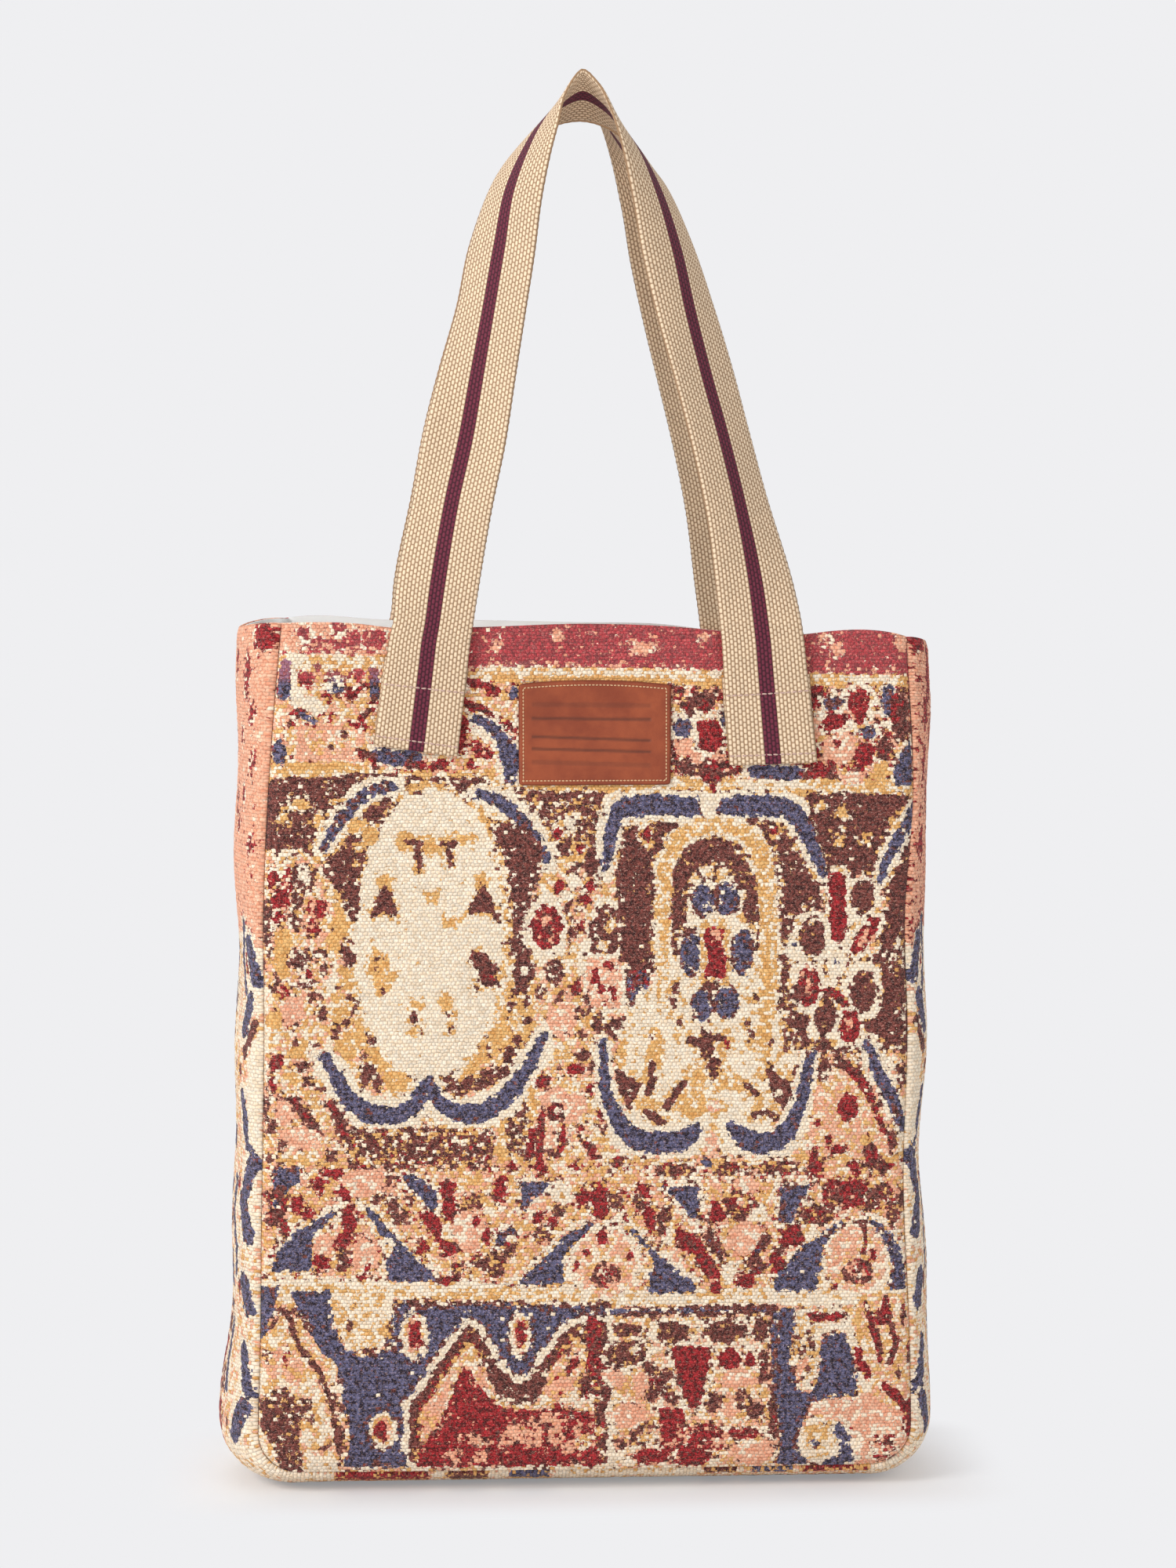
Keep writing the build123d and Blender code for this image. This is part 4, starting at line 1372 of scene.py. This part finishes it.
    def strip_course(self, cell: float) -> np.ndarray:
        """Gives the seam's course as x and z, from the left rim under the bag to the right rim."""
        radius = self.corner_radius
        steps = int((384 - radius) / cell)
        upright = np.linspace(self.nominal_rim, self.bottom + radius, steps)
        corner = self.bottom + radius * (1 - np.sin(self.corner_turn(cell)[1:]))
        down = np.concatenate([upright, corner])
        left = np.stack([self.seam(down, -1), down], axis=-1)
        right = np.stack([self.seam(down, 1), down], axis=-1)[::-1]
        width = right[0, 0] - left[-1, 0]
        base_x = np.linspace(left[-1, 0], right[0, 0], int(width / cell))[1:-1]
        base = np.stack([base_x, np.full_like(base_x, self.bottom)], axis=-1)
        return np.concatenate([left, base, right])

    def outward(self, course: np.ndarray, along: np.ndarray) -> np.ndarray:
        """Gives the outward direction at each point of the course, smoothed over nine points."""
        tangent = unit(np.gradient(course, along, axis=0))
        for axis in (0, 1):
            padded = np.pad(tangent[:, axis], 4, mode="edge")
            tangent[:, axis] = np.convolve(padded, np.ones(9) / 9, mode="valid")
        tangent = unit(tangent)
        return np.stack([tangent[:, 1], -tangent[:, 0]], axis=-1)

    def strip_grid(self, cell: float, inset: float) -> tuple[np.ndarray, np.ndarray]:
        """Lays a grid over the side and base strip.

        Args:
            cell: the grid's cell size.
            inset: how far inside the outer cloth the grid lies.

        Returns:
            The points, and the flat cloth's coordinates: across the strip, then along it.
        """
        course = self.strip_course(cell)
        along = lengths_along(course)
        outward = self.outward(course, along)
        course_x, course_z = course[:, 0, None], course[:, 1, None]
        side_bulge = np.where(
            course_x < 0,
            curve_through(course_z, *self.left_bulge),
            curve_through(course_z, *self.right_bulge),
        )
        sideways = np.abs(outward[:, 0, None]) ** 1.5
        bulge = side_bulge * sideways + self.bottom * (1 - sideways)
        quarter = math.pi / 2 * 0.8
        share = np.linspace(-1, 1, int(self.strip_girth / cell) | 1)[None, :]
        share = np.sin(share * quarter) / math.sin(quarter)
        section = (1 - np.abs(share) ** 2.6) ** 0.6
        ripple = self.strip_ripple * waves(along[:, None] * 0.8, share * 46, 85, 11)
        out = bulge * section + ripple * sideways * section - inset
        x = course_x + outward[:, 0, None] * out
        z = course_z + outward[:, 1, None] * out
        z = np.where(course_z < 60, np.maximum(z, inset), z)
        front_top, back_top = (self.rim(np.clip(course_x, -149, 149), face) for face in (-1, 1))
        rim = front_top + (back_top - front_top) * (share + 1) / 2
        lift = rim - self.nominal_rim - self.strip_rim_dip * (1 - share**2)
        z = z + self.near_rim(course_z) * sideways * lift
        reach = self.depth_half - self.seam_set_back + 0.6
        y = share * (reach - inset) + 0 * x
        flat = np.stack([share * self.strip_half + 0 * x, along[:, None] + 0 * x], axis=-1)
        return np.stack([x, y, z], axis=-1), flat


@dataclass
class OuterCloth:
    """The printed cloth: two panels, and the strip round the sides and the base."""

    form: BagForm
    front_cell: float = 1.6
    back_cell: float = 2.0
    strip_cell: float = 1.8
    thickness: float = 2.0
    slub: float = 0.22
    edge_drops: tuple[float, ...] = (-0.75, -0.25)
    strip_offset: float = 400.0
    finish: PrintedCloth = field(default_factory=PrintedCloth)

    def edge_relief(self, points: np.ndarray, seed: int) -> np.ndarray:
        """Rounds the cut edges and roughens the face a little, as slubby yarn does."""
        relief = np.random.default_rng(seed).uniform(-self.slub, self.slub, points.shape[:2])
        for index, drop in enumerate(self.edge_drops):
            for line in (index, -1 - index):
                relief[line, :] = drop
                relief[:, line] = drop
        return relief

    def build(self) -> list[bpy.types.Object]:
        """Makes the three pieces and dresses them."""
        material = self.finish.material()
        made = []
        for name, face, cell in (
            ("front_panel", -1, self.front_cell), ("back_panel", 1, self.back_cell)
        ):
            points, flat = self.form.panel_grid(face, cell, 0.0)
            printed = CarpetPrint(-face * flat[..., 0], flat[..., 1]).front()
            sheet = Sheet(points, flat, self.thickness, self.edge_relief(points, 5 + face), printed)
            made.append(self.dressed(sheet, f"{name}_cloth", name, material))
        points, flat = self.form.strip_grid(self.strip_cell, 0.0)
        printed = CarpetPrint(flat[..., 0], points[..., 2]).strip(points[..., 0])
        relief = self.edge_relief(points, 9)
        sheet = Sheet(points, flat + self.strip_offset, self.thickness, relief, printed)
        made.append(self.dressed(sheet, "side_strip_cloth", "gusset", material))
        return made

    def dressed(
        self,
        sheet: Sheet,
        name: str,
        node: str,
        material: bpy.types.Material,
    ) -> bpy.types.Object:
        """Args:
            sheet: the piece's grid.
            name: the piece's name.
            node: the solid that it takes the place of.
            material: the printed cloth.

        Returns:
            The piece.
        """
        piece = sheet.build(name)
        piece.data.materials.append(material)
        stands_for(piece, node)
        return piece


@dataclass
class Lining:
    """The white cotton inside: two panels and a strip, close against the outer cloth."""

    form: BagForm
    cell: float = 4.0
    inset: float = 2.3
    thickness: float = 0.6
    finish: CottonLining = field(default_factory=CottonLining)

    def build(self) -> list[bpy.types.Object]:
        """Makes the three pieces and dresses them."""
        material = self.finish.material()
        front = self.form.panel_grid(-1, self.cell, self.inset)
        back = self.form.panel_grid(1, self.cell, self.inset)
        strip = self.form.strip_grid(self.cell, self.inset)
        made = []
        for (points, flat), node, size in (
            (front, "lining_front", (0.295, 0.378)),
            (back, "lining_back", (0.295, 0.378)),
            (strip, "lining_gusset", (0.108, 1.040)),
        ):
            piece = Sheet(points, flat, self.thickness).build(f"{node}_cotton")
            piece.data.materials.append(material)
            stands_for(piece, node)
            made.append(piece)
        return made


@dataclass
class Thread:
    """Rows of short stitches that follow a route, made by one tree of geometry nodes."""

    name: str
    pitch: float
    length: float
    thickness: float
    unevenness: tuple[float, float, float] = (0.05, 0.10, 0.14)

    def tree(self) -> bpy.types.GeometryNodeTree:
        """Builds the tree: points along the route, a bar on each, all turned into one mesh."""
        tree = bpy.data.node_groups.new(f"{self.name}_tree", "GeometryNodeTree")
        for label, way, kind in (
            ("Route", "INPUT", "Geometry"), ("Pitch", "INPUT", "Float"), ("Size", "INPUT", "Vector"),
            ("Material", "INPUT", "Material"), ("Seed", "INPUT", "Int"),
            ("Stitches", "OUTPUT", "Geometry"),
        ):
            tree.interface.new_socket(label, in_out=way, socket_type=f"NodeSocket{kind}")
        add = tree.nodes.new
        entry, leave = add("NodeGroupInput"), add("NodeGroupOutput")
        curve, points = add("GeometryNodeMeshToCurve"), add("GeometryNodeResampleCurve")
        bar, tangent = add("GeometryNodeMeshUVSphere"), add("GeometryNodeInputTangent")
        turn, chance = add("FunctionNodeAlignRotationToVector"), add("FunctionNodeRandomValue")
        spin, place = add("FunctionNodeRotateRotation"), add("GeometryNodeInstanceOnPoints")
        real, dress = add("GeometryNodeRealizeInstances"), add("GeometryNodeSetMaterial")
        points.mode = "LENGTH"
        turn.axis = "X"
        spin.rotation_space = "LOCAL"
        chance.data_type = "FLOAT_VECTOR"
        chance.inputs[0].default_value = tuple(-angle for angle in self.unevenness)
        chance.inputs[1].default_value = self.unevenness
        for label, value in (("Segments", 12), ("Rings", 8), ("Radius", 0.5)):
            bar.inputs[label].default_value = value
        for source, output, target, socket in (
            (entry, "Route", curve, "Mesh"),
            (curve, "Curve", points, "Curve"),
            (entry, "Pitch", points, "Length"),
            (tangent, 0, turn, "Vector"),
            (entry, "Seed", chance, "Seed"),
            (turn, 0, spin, "Rotation"),
            (chance, 0, spin, "Rotate By"),
            (points, "Curve", place, "Points"),
            (bar, "Mesh", place, "Instance"),
            (spin, 0, place, "Rotation"),
            (entry, "Size", place, "Scale"),
            (place, "Instances", real, "Geometry"),
            (real, "Geometry", dress, "Geometry"),
            (entry, "Material", dress, "Material"),
            (dress, "Geometry", leave, "Stitches"),
        ):
            tree.links.new(source.outputs[output], target.inputs[socket])
        return tree

    def sew(
        self, node: str, routes: list[np.ndarray], material: bpy.types.Material, seed: int
    ) -> bpy.types.Object:
        """Sews stitches along routes.

        Args:
            node: the thread solid that the stitches stand for.
            routes: runs of points in millimetres.
            material: the thread's material.
            seed: which unevenness.

        Returns:
            The stitches as one piece.
        """
        mesh = bpy.data.meshes.new(f"{node}_route")
        corners = np.concatenate(routes) * MM
        edges = []
        first = 0
        for route in routes:
            last = first + len(route) - 1
            edges += [(index, index + 1) for index in range(first, last)]
            first = last + 1
        mesh.from_pydata(corners.tolist(), edges, [])
        carrier = placed(f"{node}_route", mesh)
        modifier = carrier.modifiers.new("stitches", "NODES")
        modifier.node_group = self.tree()
        wanted = {
            "Pitch": self.pitch * MM,
            "Size": (self.length * MM, self.thickness * MM, self.thickness * MM),
            "Material": material,
            "Seed": seed,
        }
        for item in modifier.node_group.interface.items_tree:
            if item.name in wanted:
                modifier[item.identifier] = wanted[item.name]
        bpy.context.view_layer.update()
        evaluated = carrier.evaluated_get(bpy.context.evaluated_depsgraph_get())
        made = bpy.data.meshes.new_from_object(evaluated)
        carrier.modifiers.remove(modifier)
        bpy.data.objects.remove(carrier)
        piece = placed(f"{node}_thread", made)
        made.polygons.foreach_set("use_smooth", np.ones(len(made.polygons), dtype=bool))
        stands_for(piece, node)
        return piece


@dataclass
class Handle:
    """One webbing handle: a strap that turns from the panel's plane to face outwards at its top.

    Each station of a leg holds where three lines of the strap lie: the edge that ends up in
    front at the top, the stripe, and the edge that ends up behind. Depths are for the front
    handle and are mirrored for the back one.
    """

    form: BagForm
    face: int
    left_leg: tuple[tuple[float, ...], ...]
    right_leg: tuple[tuple[float, ...], ...]
    left_foot: tuple[float, ...]
    right_foot: tuple[float, ...]
    width: float = 37.0
    thickness: float = 1.8
    step: float = 1.07
    columns: int = 29
    fold_back: float = 38.0
    selvedge_wave: float = 0.35
    selvedge_pitch: float = 3.2
    edge_drops: tuple[float, ...] = (-0.55, -0.12)
    foot_gap: float = 0.3
    fold_gap: float = 0.45
    thread_reach: float = 0.93
    thread_lift: float = 0.12
    foot_steps: int = 4

    def foot_rows(self, foot: tuple[float, ...]) -> np.ndarray:
        """Gives the foot's front face as rows from its folded end up to just under the rim.

        Args:
            foot: x and height of the front, stripe and back lines at the folded end, and
                their x at the top row.

        Returns:
            Rows of three points.
        """
        x0, z0, x1, z1 = np.reshape(foot, (3, 4)).T
        share = np.linspace(0, 1, self.foot_steps + 1)[:, None]
        x = x0 + share * (x1 - x0)
        z = z0 + share * (z1 - z0)
        y = self.form.face_y(x, z, self.face) + self.face * (2 * self.thickness + self.foot_gap)
        return np.stack([x, y, z], axis=-1)

    def leg_rows(self, leg: tuple[tuple[float, ...], ...]) -> np.ndarray:
        """Gives a leg's stations as rows of three points."""
        rows = np.array(leg).reshape(-1, 3, 3).copy()
        rows[..., 1] *= -self.face
        return rows

    def rails(self) -> np.ndarray:
        """Joins both feet and legs into one run of rows of three points, evenly spaced."""
        left = np.concatenate([self.foot_rows(self.left_foot), self.leg_rows(self.left_leg)])
        right = np.concatenate([self.foot_rows(self.right_foot), self.leg_rows(self.right_leg)])
        rows = np.concatenate([left, right[::-1]])
        along = lengths_along(rows[:, 1])
        places = np.linspace(0, along[-1], int(along[-1] / self.step) + 1)
        flat = rows.reshape(len(rows), 9)
        smooth = np.stack([curve_through(places, along, flat[:, i]) for i in range(9)], axis=-1)
        return smooth.reshape(-1, 3, 3)

    def folded_end(self, rails: np.ndarray) -> np.ndarray:
        """Gives the rows from the hidden end under a foot, round the fold, to the first front row."""
        first = rails[0]
        inward = np.array([0.0, -float(self.face), 0.0])
        up = unit(rails[8, 1] - rails[0, 1])
        radius = self.thickness / 2 + self.fold_gap
        rows = []
        for angle in np.linspace(math.pi, 0, 9)[:-1]:
            shift = inward * radius * (1 - math.cos(angle)) - up * radius * math.sin(angle)
            rows.append(first + shift)
        hidden = first + inward * 2 * radius
        under = [hidden + up * rise for rise in np.arange(self.fold_back, 0, -3.0)]
        return np.array(under + rows)

    def build(self, name: str, node: str, material: bpy.types.Material) -> bpy.types.Object:
        """Makes the strap as one closed shell, with its ends folded under at the feet."""
        rails = self.rails()
        rows = np.concatenate([self.folded_end(rails), rails, self.folded_end(rails[::-1])[::-1]])
        share = np.linspace(-1, 1, self.columns)[None, :, None]
        points = self.across(rows[:, 0, None], rows[:, 1, None], rows[:, 2, None], share)
        along = lengths_along(rows[:, 1])
        wave = self.selvedge_wave * np.abs(np.sin(math.pi * along / self.selvedge_pitch))
        points[:, -1] += unit(points[:, -1] - points[:, -2]) * wave[:, None]
        points[:, 0] += unit(points[:, 0] - points[:, 1]) * (self.selvedge_wave - wave)[:, None]
        if self.face < 0:
            points = points[:, ::-1]
        flat_across = np.linspace(-self.width / 2, self.width / 2, self.columns)
        flat = np.stack(np.broadcast_arrays(flat_across[None, :], along[:, None]), axis=-1)
        outward = grid_normals(points)[len(rows) // 2, self.columns // 2]
        if outward[2] < 0:
            points = points[:, ::-1]
        relief = np.zeros(points.shape[:2])
        for index, drop in enumerate(self.edge_drops):
            relief[:, [index, -1 - index]] = drop
        piece = Sheet(points, flat, self.thickness, relief).build(name)
        piece.data.materials.append(material)
        stands_for(piece, node)
        return piece

    def across(
        self, front: np.ndarray, stripe: np.ndarray, back: np.ndarray, share: np.ndarray
    ) -> np.ndarray:
        """Gives points across the strap, from its front line at -1 to its back line at 1."""
        return stripe + (back - front) / 2 * share + ((back + front) / 2 - stripe) * share**2

    def stitch_routes(self, foot: tuple[float, ...], rises: tuple[float, float]) -> list[np.ndarray]:
        """Gives the sewn rows across one foot.

        Args:
            foot: the foot's lines, as in foot_rows.
            rises: how far above the folded end each row lies.

        Returns:
            Each row's points from edge to edge.
        """
        rows = self.foot_rows(foot)
        height = rows[-1, 1, 2] - rows[0, 1, 2]
        share = np.linspace(-self.thread_reach, self.thread_reach, 24)[:, None]
        routes = []
        for rise in rises:
            step = rise / height * self.foot_steps
            low = int(step)
            front, stripe, back = rows[low] + (rows[low + 1] - rows[low]) * (step - low)
            run = self.across(front, stripe, back, share)
            run[:, 1] += self.face * self.thread_lift
            routes.append(run)
        return routes


LEFT_LEG = (
    (-50.3, -53.0, 387, -68.0, -53.1, 389, -84.8, -52.8, 391),
    (-48.2, -53.5, 401, -66.0, -51.8, 403, -83.6, -48.7, 405),
    (-41.7, -51.5, 441, -58.8, -44.5, 444, -75.4, -38.0, 447),
    (-36.0, -49.0, 469, -52.4, -40.0, 472, -69.8, -36.0, 476),
    (-31.4, -44.5, 497, -47.3, -35.5, 500, -63.0, -27.0, 504),
    (-27.0, -41.0, 524, -42.2, -31.0, 528, -55.3, -18.5, 532),
    (-22.6, -38.5, 552, -37.2, -26.5, 556, -49.4, -13.0, 560),
    (-18.7, -36.0, 580, -32.0, -23.0, 583, -38.8, -6.5, 588),
    (-15.4, -36.0, 597, -26.0, -21.0, 598, -31.0, -4.0, 599),
    (-12.4, -36.0, 609, -19.5, -20.0, 610, -23.5, -3.5, 606),
    (-8.6, -35.8, 624, -10.5, -19.6, 620, -12.0, -3.4, 613),
    (-1.0, -35.5, 634.0, 0.5, -19.4, 625, 1.0, -3.4, 615.4),
)
RIGHT_LEG = (
    (59.6, -53.2, 387, 77.5, -53.1, 389, 95.3, -51.8, 391),
    (58.0, -55.0, 401, 75.8, -51.8, 403, 93.0, -46.2, 405),
    (53.0, -52.8, 441, 68.5, -44.5, 444, 82.0, -32.0, 447),
    (47.2, -49.5, 469, 61.9, -40.0, 472, 74.6, -27.0, 476),
    (40.3, -46.0, 497, 54.5, -35.5, 500, 67.5, -22.5, 504),
    (33.0, -40.5, 524, 47.8, -31.0, 528, 59.5, -17.0, 532),
    (26.3, -37.0, 553, 42.0, -26.5, 556, 50.5, -10.5, 560),
    (21.8, -35.5, 580, 33.7, -23.0, 583, 38.5, -5.5, 586),
    (17.7, -36.0, 600, 27.5, -21.0, 597, 31.0, -4.0, 595),
    (13.0, -36.0, 616, 19.5, -20.0, 609, 23.5, -4.0, 605),
    (7.0, -35.8, 628, 11.0, -19.6, 619.5, 13.0, -3.4, 612.5),
)
LEFT_FOOT = (-56.8, 332.0, -51.2, 381.0, -75.0, 334.7, -69.2, 382.5, -93.3, 337.4, -86.4, 384.0)
RIGHT_FOOT = (63.6, 327.8, 60.2, 381.0, 83.0, 328.4, 78.4, 382.0, 102.4, 329.0, 96.3, 384.0)


@dataclass
class LeatherLabel:
    """The small leather patch with plain pressed lines, sewn to the front near the rim.

    A pressed line holds its height at its left and right end, its half width and how deep it is.
    """

    form: BagForm
    left: float = -29.7
    right: float = 37.7
    low: float = 318.0
    high: float = 362.6
    thickness: float = 1.6
    corner: float = 1.6
    cell: float = 0.55
    line_depth: float = 0.35
    line_left: float = -25.0
    line_right: float = 30.0
    top_bow: float = 1.9
    bow_middle: float = 2.0
    bow_half: float = 34.0
    stitch_inset: float = 2.0
    channel_depth: float = 0.18
    edge_rounding: float = 0.6
    lines: tuple[tuple[float, ...], ...] = (
        (347.6, 347.0, 0.75, 1.0),
        (339.6, 337.6, 0.75, 1.0),
        (334.2, 332.6, 0.75, 1.0),
        (353.8, 353.2, 1.15, 0.45),
        (328.4, 326.6, 1.15, 0.45),
    )

    def bow(self, x: np.ndarray, rise: np.ndarray) -> np.ndarray:
        """Gives how far the patch bows up, most in the middle of its top edge."""
        across = 1 - ((x - self.bow_middle) / self.bow_half) ** 2
        return self.top_bow * across * (rise / (self.high - self.low)) ** 2

    def pressed(self, x: np.ndarray, z: np.ndarray) -> np.ndarray:
        """Gives how deep the pressed lines lie at each point, from 0 to 1."""
        deepest = np.zeros_like(x)
        for start, end, half, strength in self.lines:
            along = (x - self.line_left) / (self.line_right - self.line_left)
            inside = half - np.abs(z - start - (end - start) * along)
            ends = np.minimum(x - self.line_left - 1, self.line_right - 1 - x)
            deepest = np.maximum(deepest, strength * ease(np.minimum(inside, ends) / 0.6 + 0.3))
        return deepest

    def build(self) -> bpy.types.Object:
        """Makes the patch as one closed slab."""
        rows = int((self.high - self.low) / self.cell) + 1
        columns = int((self.right - self.left) / self.cell) + 1
        v = np.linspace(0, self.high - self.low, rows)[:, None]
        u = np.linspace(0, 1, columns)[None, :]
        from_end = np.minimum(v, self.high - self.low - v)
        short = np.clip(1 - from_end / self.corner, 0, 1)
        inset = self.corner * (1 - np.sqrt(np.clip(1 - short**2, 0, 1)))
        x = self.left + inset + u * (self.right - self.left - 2 * inset)
        z = self.low + v + self.bow(x, v)
        y = self.form.face_y(x, z, -1) - self.thickness - 0.15
        edge = np.minimum(np.minimum(x - self.left, self.right - x), from_end)
        rounding = self.edge_rounding * (1 - ease(edge / 1.1))
        pressed = self.pressed(x, z)
        channel = self.channel_depth * np.exp(-(((edge - self.stitch_inset) / 0.55) ** 2))
        relief = -rounding - self.line_depth * pressed - channel
        wear = np.stack([pressed, 1 - ease(edge / 0.9), 0 * x], axis=-1)
        points = np.stack([x, y, z], axis=-1)
        flat = np.stack([x, z], axis=-1)
        sheet = Sheet(points, flat, self.thickness, relief, {"wear": wear})
        piece = sheet.build("leather_label_patch")
        piece.data.materials.append(TanLeather().material())
        stands_for(piece, "leather_label")
        return piece

    def stitch_routes(self) -> list[np.ndarray]:
        """Gives the sewn line round the patch, a little inside its edge."""
        left, right = self.left + self.stitch_inset, self.right - self.stitch_inset
        low, high = self.low + self.stitch_inset, self.high - self.stitch_inset
        across = np.linspace(left, right, 40)
        upright = np.linspace(low, high, 30)
        x = np.concatenate([across, np.full(30, right), across[::-1], np.full(30, left)])
        z = np.concatenate([np.full(40, low), upright, np.full(40, high), upright[::-1]])
        z = z + self.bow(x, z - self.low)
        y = self.form.face_y(x, z, -1) - self.thickness - 0.12
        return [np.stack([x, y, z], axis=-1)]


@dataclass
class Studio:
    """The camera, the lights, and the pale floor that runs up into the backdrop."""

    turn: float = math.radians(3.5)
    rise: float = math.radians(4.0)
    distance: float = 1.8
    aim: tuple[float, float, float] = (0.004, 0.0, 0.315)
    view_height: float = 0.7143
    sensor: float = 36.0
    paper: Colour = linear(239, 239, 241)
    world_strength: float = 0.62
    shadow_reach: float = 45.0
    shadow_clear: float = 0.3

    def camera(self) -> None:
        """Places the camera where the photograph was taken from."""
        data = bpy.data.cameras.new("camera")
        data.sensor_fit = "AUTO"
        data.sensor_width = self.sensor
        data.lens = self.sensor * self.distance / self.view_height
        camera = placed("camera", data)
        flat = self.distance * math.cos(self.rise)
        camera.location = (
            self.aim[0] - flat * math.sin(self.turn),
            self.aim[1] - flat * math.cos(self.turn),
            self.aim[2] + self.distance * math.sin(self.rise),
        )
        camera.rotation_euler = (math.pi / 2 - self.rise, 0.0, -self.turn)
        bpy.context.scene.camera = camera

    def light(
        self, name: str, place: tuple[float, float, float], size: float, power: float
    ) -> None:
        """Adds a square area light aimed at the bag.

        Args:
            name: the light's name.
            place: where it hangs, in metres.
            size: its side in metres.
            power: its power in watts.
        """
        data = bpy.data.lights.new(name, "AREA")
        data.shape = "SQUARE"
        data.size = size
        data.energy = power
        lamp = placed(name, data)
        lamp.location = place
        toward = np.array([0.0, 0.0, 0.3]) - np.array(place)
        pitch = math.atan2(math.hypot(toward[0], toward[1]), -toward[2])
        lamp.rotation_euler = (pitch, 0.0, math.atan2(toward[0], -toward[1]) + math.pi)

    def floor(self) -> None:
        """Makes a floor that curves up behind the bag, in plain white."""
        depth = np.array([-3.0, -1.5, -0.5, 0.5, 1.2, 1.6, 1.9, 2.08, 2.2, 2.25, 2.25])
        height = np.array([0.0, 0.0, 0.0, 0.0, 0.0, 0.03, 0.13, 0.3, 0.55, 0.9, 4.0])
        corners = []
        for y, z in zip(depth, height):
            corners += [(-4.0, float(y), float(z)), (4.0, float(y), float(z))]
        faces = [(2 * i, 2 * i + 1, 2 * i + 3, 2 * i + 2) for i in range(len(depth) - 1)]
        mesh = bpy.data.meshes.new("floor")
        mesh.from_pydata(corners, [], faces)
        mesh.polygons.foreach_set("use_smooth", np.ones(len(faces), dtype=bool))
        piece = placed("floor", mesh)
        graph = Graph("backdrop_paper")
        graph.dress((0.86, 0.86, 0.87, 1.0), 0.95, 0.1)
        self.even_out(graph)
        mesh.materials.append(graph.material)

    def even_out(self, graph: Graph) -> None:
        """Lets the camera see one even pale grey away from the bag, and true shadows close to it."""
        x, y, _ = graph.parts(graph.object_place())
        beside, before = (
            graph.math("MAXIMUM", graph.math("SUBTRACT", graph.math("ABSOLUTE", place), half), 0.0)
            for place, half in ((x, 155.0), (y, 50.0))
        )
        distance = graph.vector("LENGTH", graph.joined(beside, before)).node.outputs[1]
        away = graph.between(distance, 0.0, self.shadow_reach, (self.shadow_clear, 1.0))
        seen = graph.node("ShaderNodeLightPath").outputs["Is Camera Ray"]
        plain = graph.node("ShaderNodeEmission")
        plain.inputs["Color"].default_value = self.paper
        mixed = graph.node("ShaderNodeMixShader")
        graph.put(mixed.inputs[0], graph.math("MULTIPLY", away, seen))
        graph.put(mixed.inputs[1], graph.shader.outputs["BSDF"])
        graph.put(mixed.inputs[2], plain.outputs[0])
        output = next(node for node in graph.tree.nodes if node.type == "OUTPUT_MATERIAL")
        graph.put(output.inputs["Surface"], mixed.outputs[0])

    def build(self) -> None:
        """Sets the whole stage and how it is shown."""
        self.camera()
        self.floor()
        self.light("key", (-1.9, -1.5, 1.6), 1.2, 42.0)
        self.light("fill", (1.2, -2.2, 1.0), 1.6, 7.0)
        self.light("back_wash", (-0.3, 1.0, 2.4), 2.0, 10.0)
        world = bpy.data.worlds.new("studio")
        bpy.context.scene.world = world
        world.use_nodes = True
        lit = world.node_tree.nodes["Background"]
        lit.inputs["Color"].default_value = (1.0, 1.0, 1.0, 1.0)
        lit.inputs["Strength"].default_value = self.world_strength
        seen = world.node_tree.nodes.new("ShaderNodeBackground")
        seen.inputs["Color"].default_value = self.paper
        path = world.node_tree.nodes.new("ShaderNodeLightPath")
        mixed = world.node_tree.nodes.new("ShaderNodeMixShader")
        link = world.node_tree.links.new
        link(path.outputs["Is Camera Ray"], mixed.inputs[0])
        link(lit.outputs[0], mixed.inputs[1])
        link(seen.outputs[0], mixed.inputs[2])
        link(mixed.outputs[0], world.node_tree.nodes["World Output"].inputs["Surface"])
        bpy.context.scene.view_settings.view_transform = "Standard"


def main() -> None:
    """Builds the bag piece by piece, and reports each."""
    logging.basicConfig(level=logging.INFO, format="%(name)s: %(message)s")
    Studio().build()
    form = BagForm()
    pieces = OuterCloth(form).build()
    pieces += Lining(form).build()
    webbing = StripedWebbing().material()
    thread = PaleThread("pale_thread", linear(226, 190, 176)).material()
    foot_thread = Thread("foot_stitches", pitch=2.6, length=2.3, thickness=0.75)
    for face_name, face in (("front", -1), ("back", 1)):
        handle = Handle(form, face, LEFT_LEG, RIGHT_LEG, LEFT_FOOT, RIGHT_FOOT)
        pieces.append(handle.build(f"{face_name}_handle_strap", f"{face_name}_handle", webbing))
        for leg_name, foot, rises in (
            ("left", LEFT_FOOT, (3.0, 26.5)), ("right", RIGHT_FOOT, (3.0, 30.0))
        ):
            node = f"{face_name}_{leg_name}_handle_stitching"
            routes = handle.stitch_routes(foot, rises)
            pieces.append(foot_thread.sew(node, routes, thread, seed=len(pieces)))
    label = LeatherLabel(form)
    pieces.append(label.build())
    patch_thread = PaleThread("patch_thread", linear(240, 196, 150)).material()
    sewing = Thread("patch_stitches", pitch=1.6, length=1.25, thickness=0.62)
    pieces.append(sewing.sew("label_stitching", label.stitch_routes(), patch_thread, seed=3))
    for piece in pieces:
        log.info("%s: %d faces", piece.name, len(piece.data.polygons))


if __name__ == "__main__":
    main()
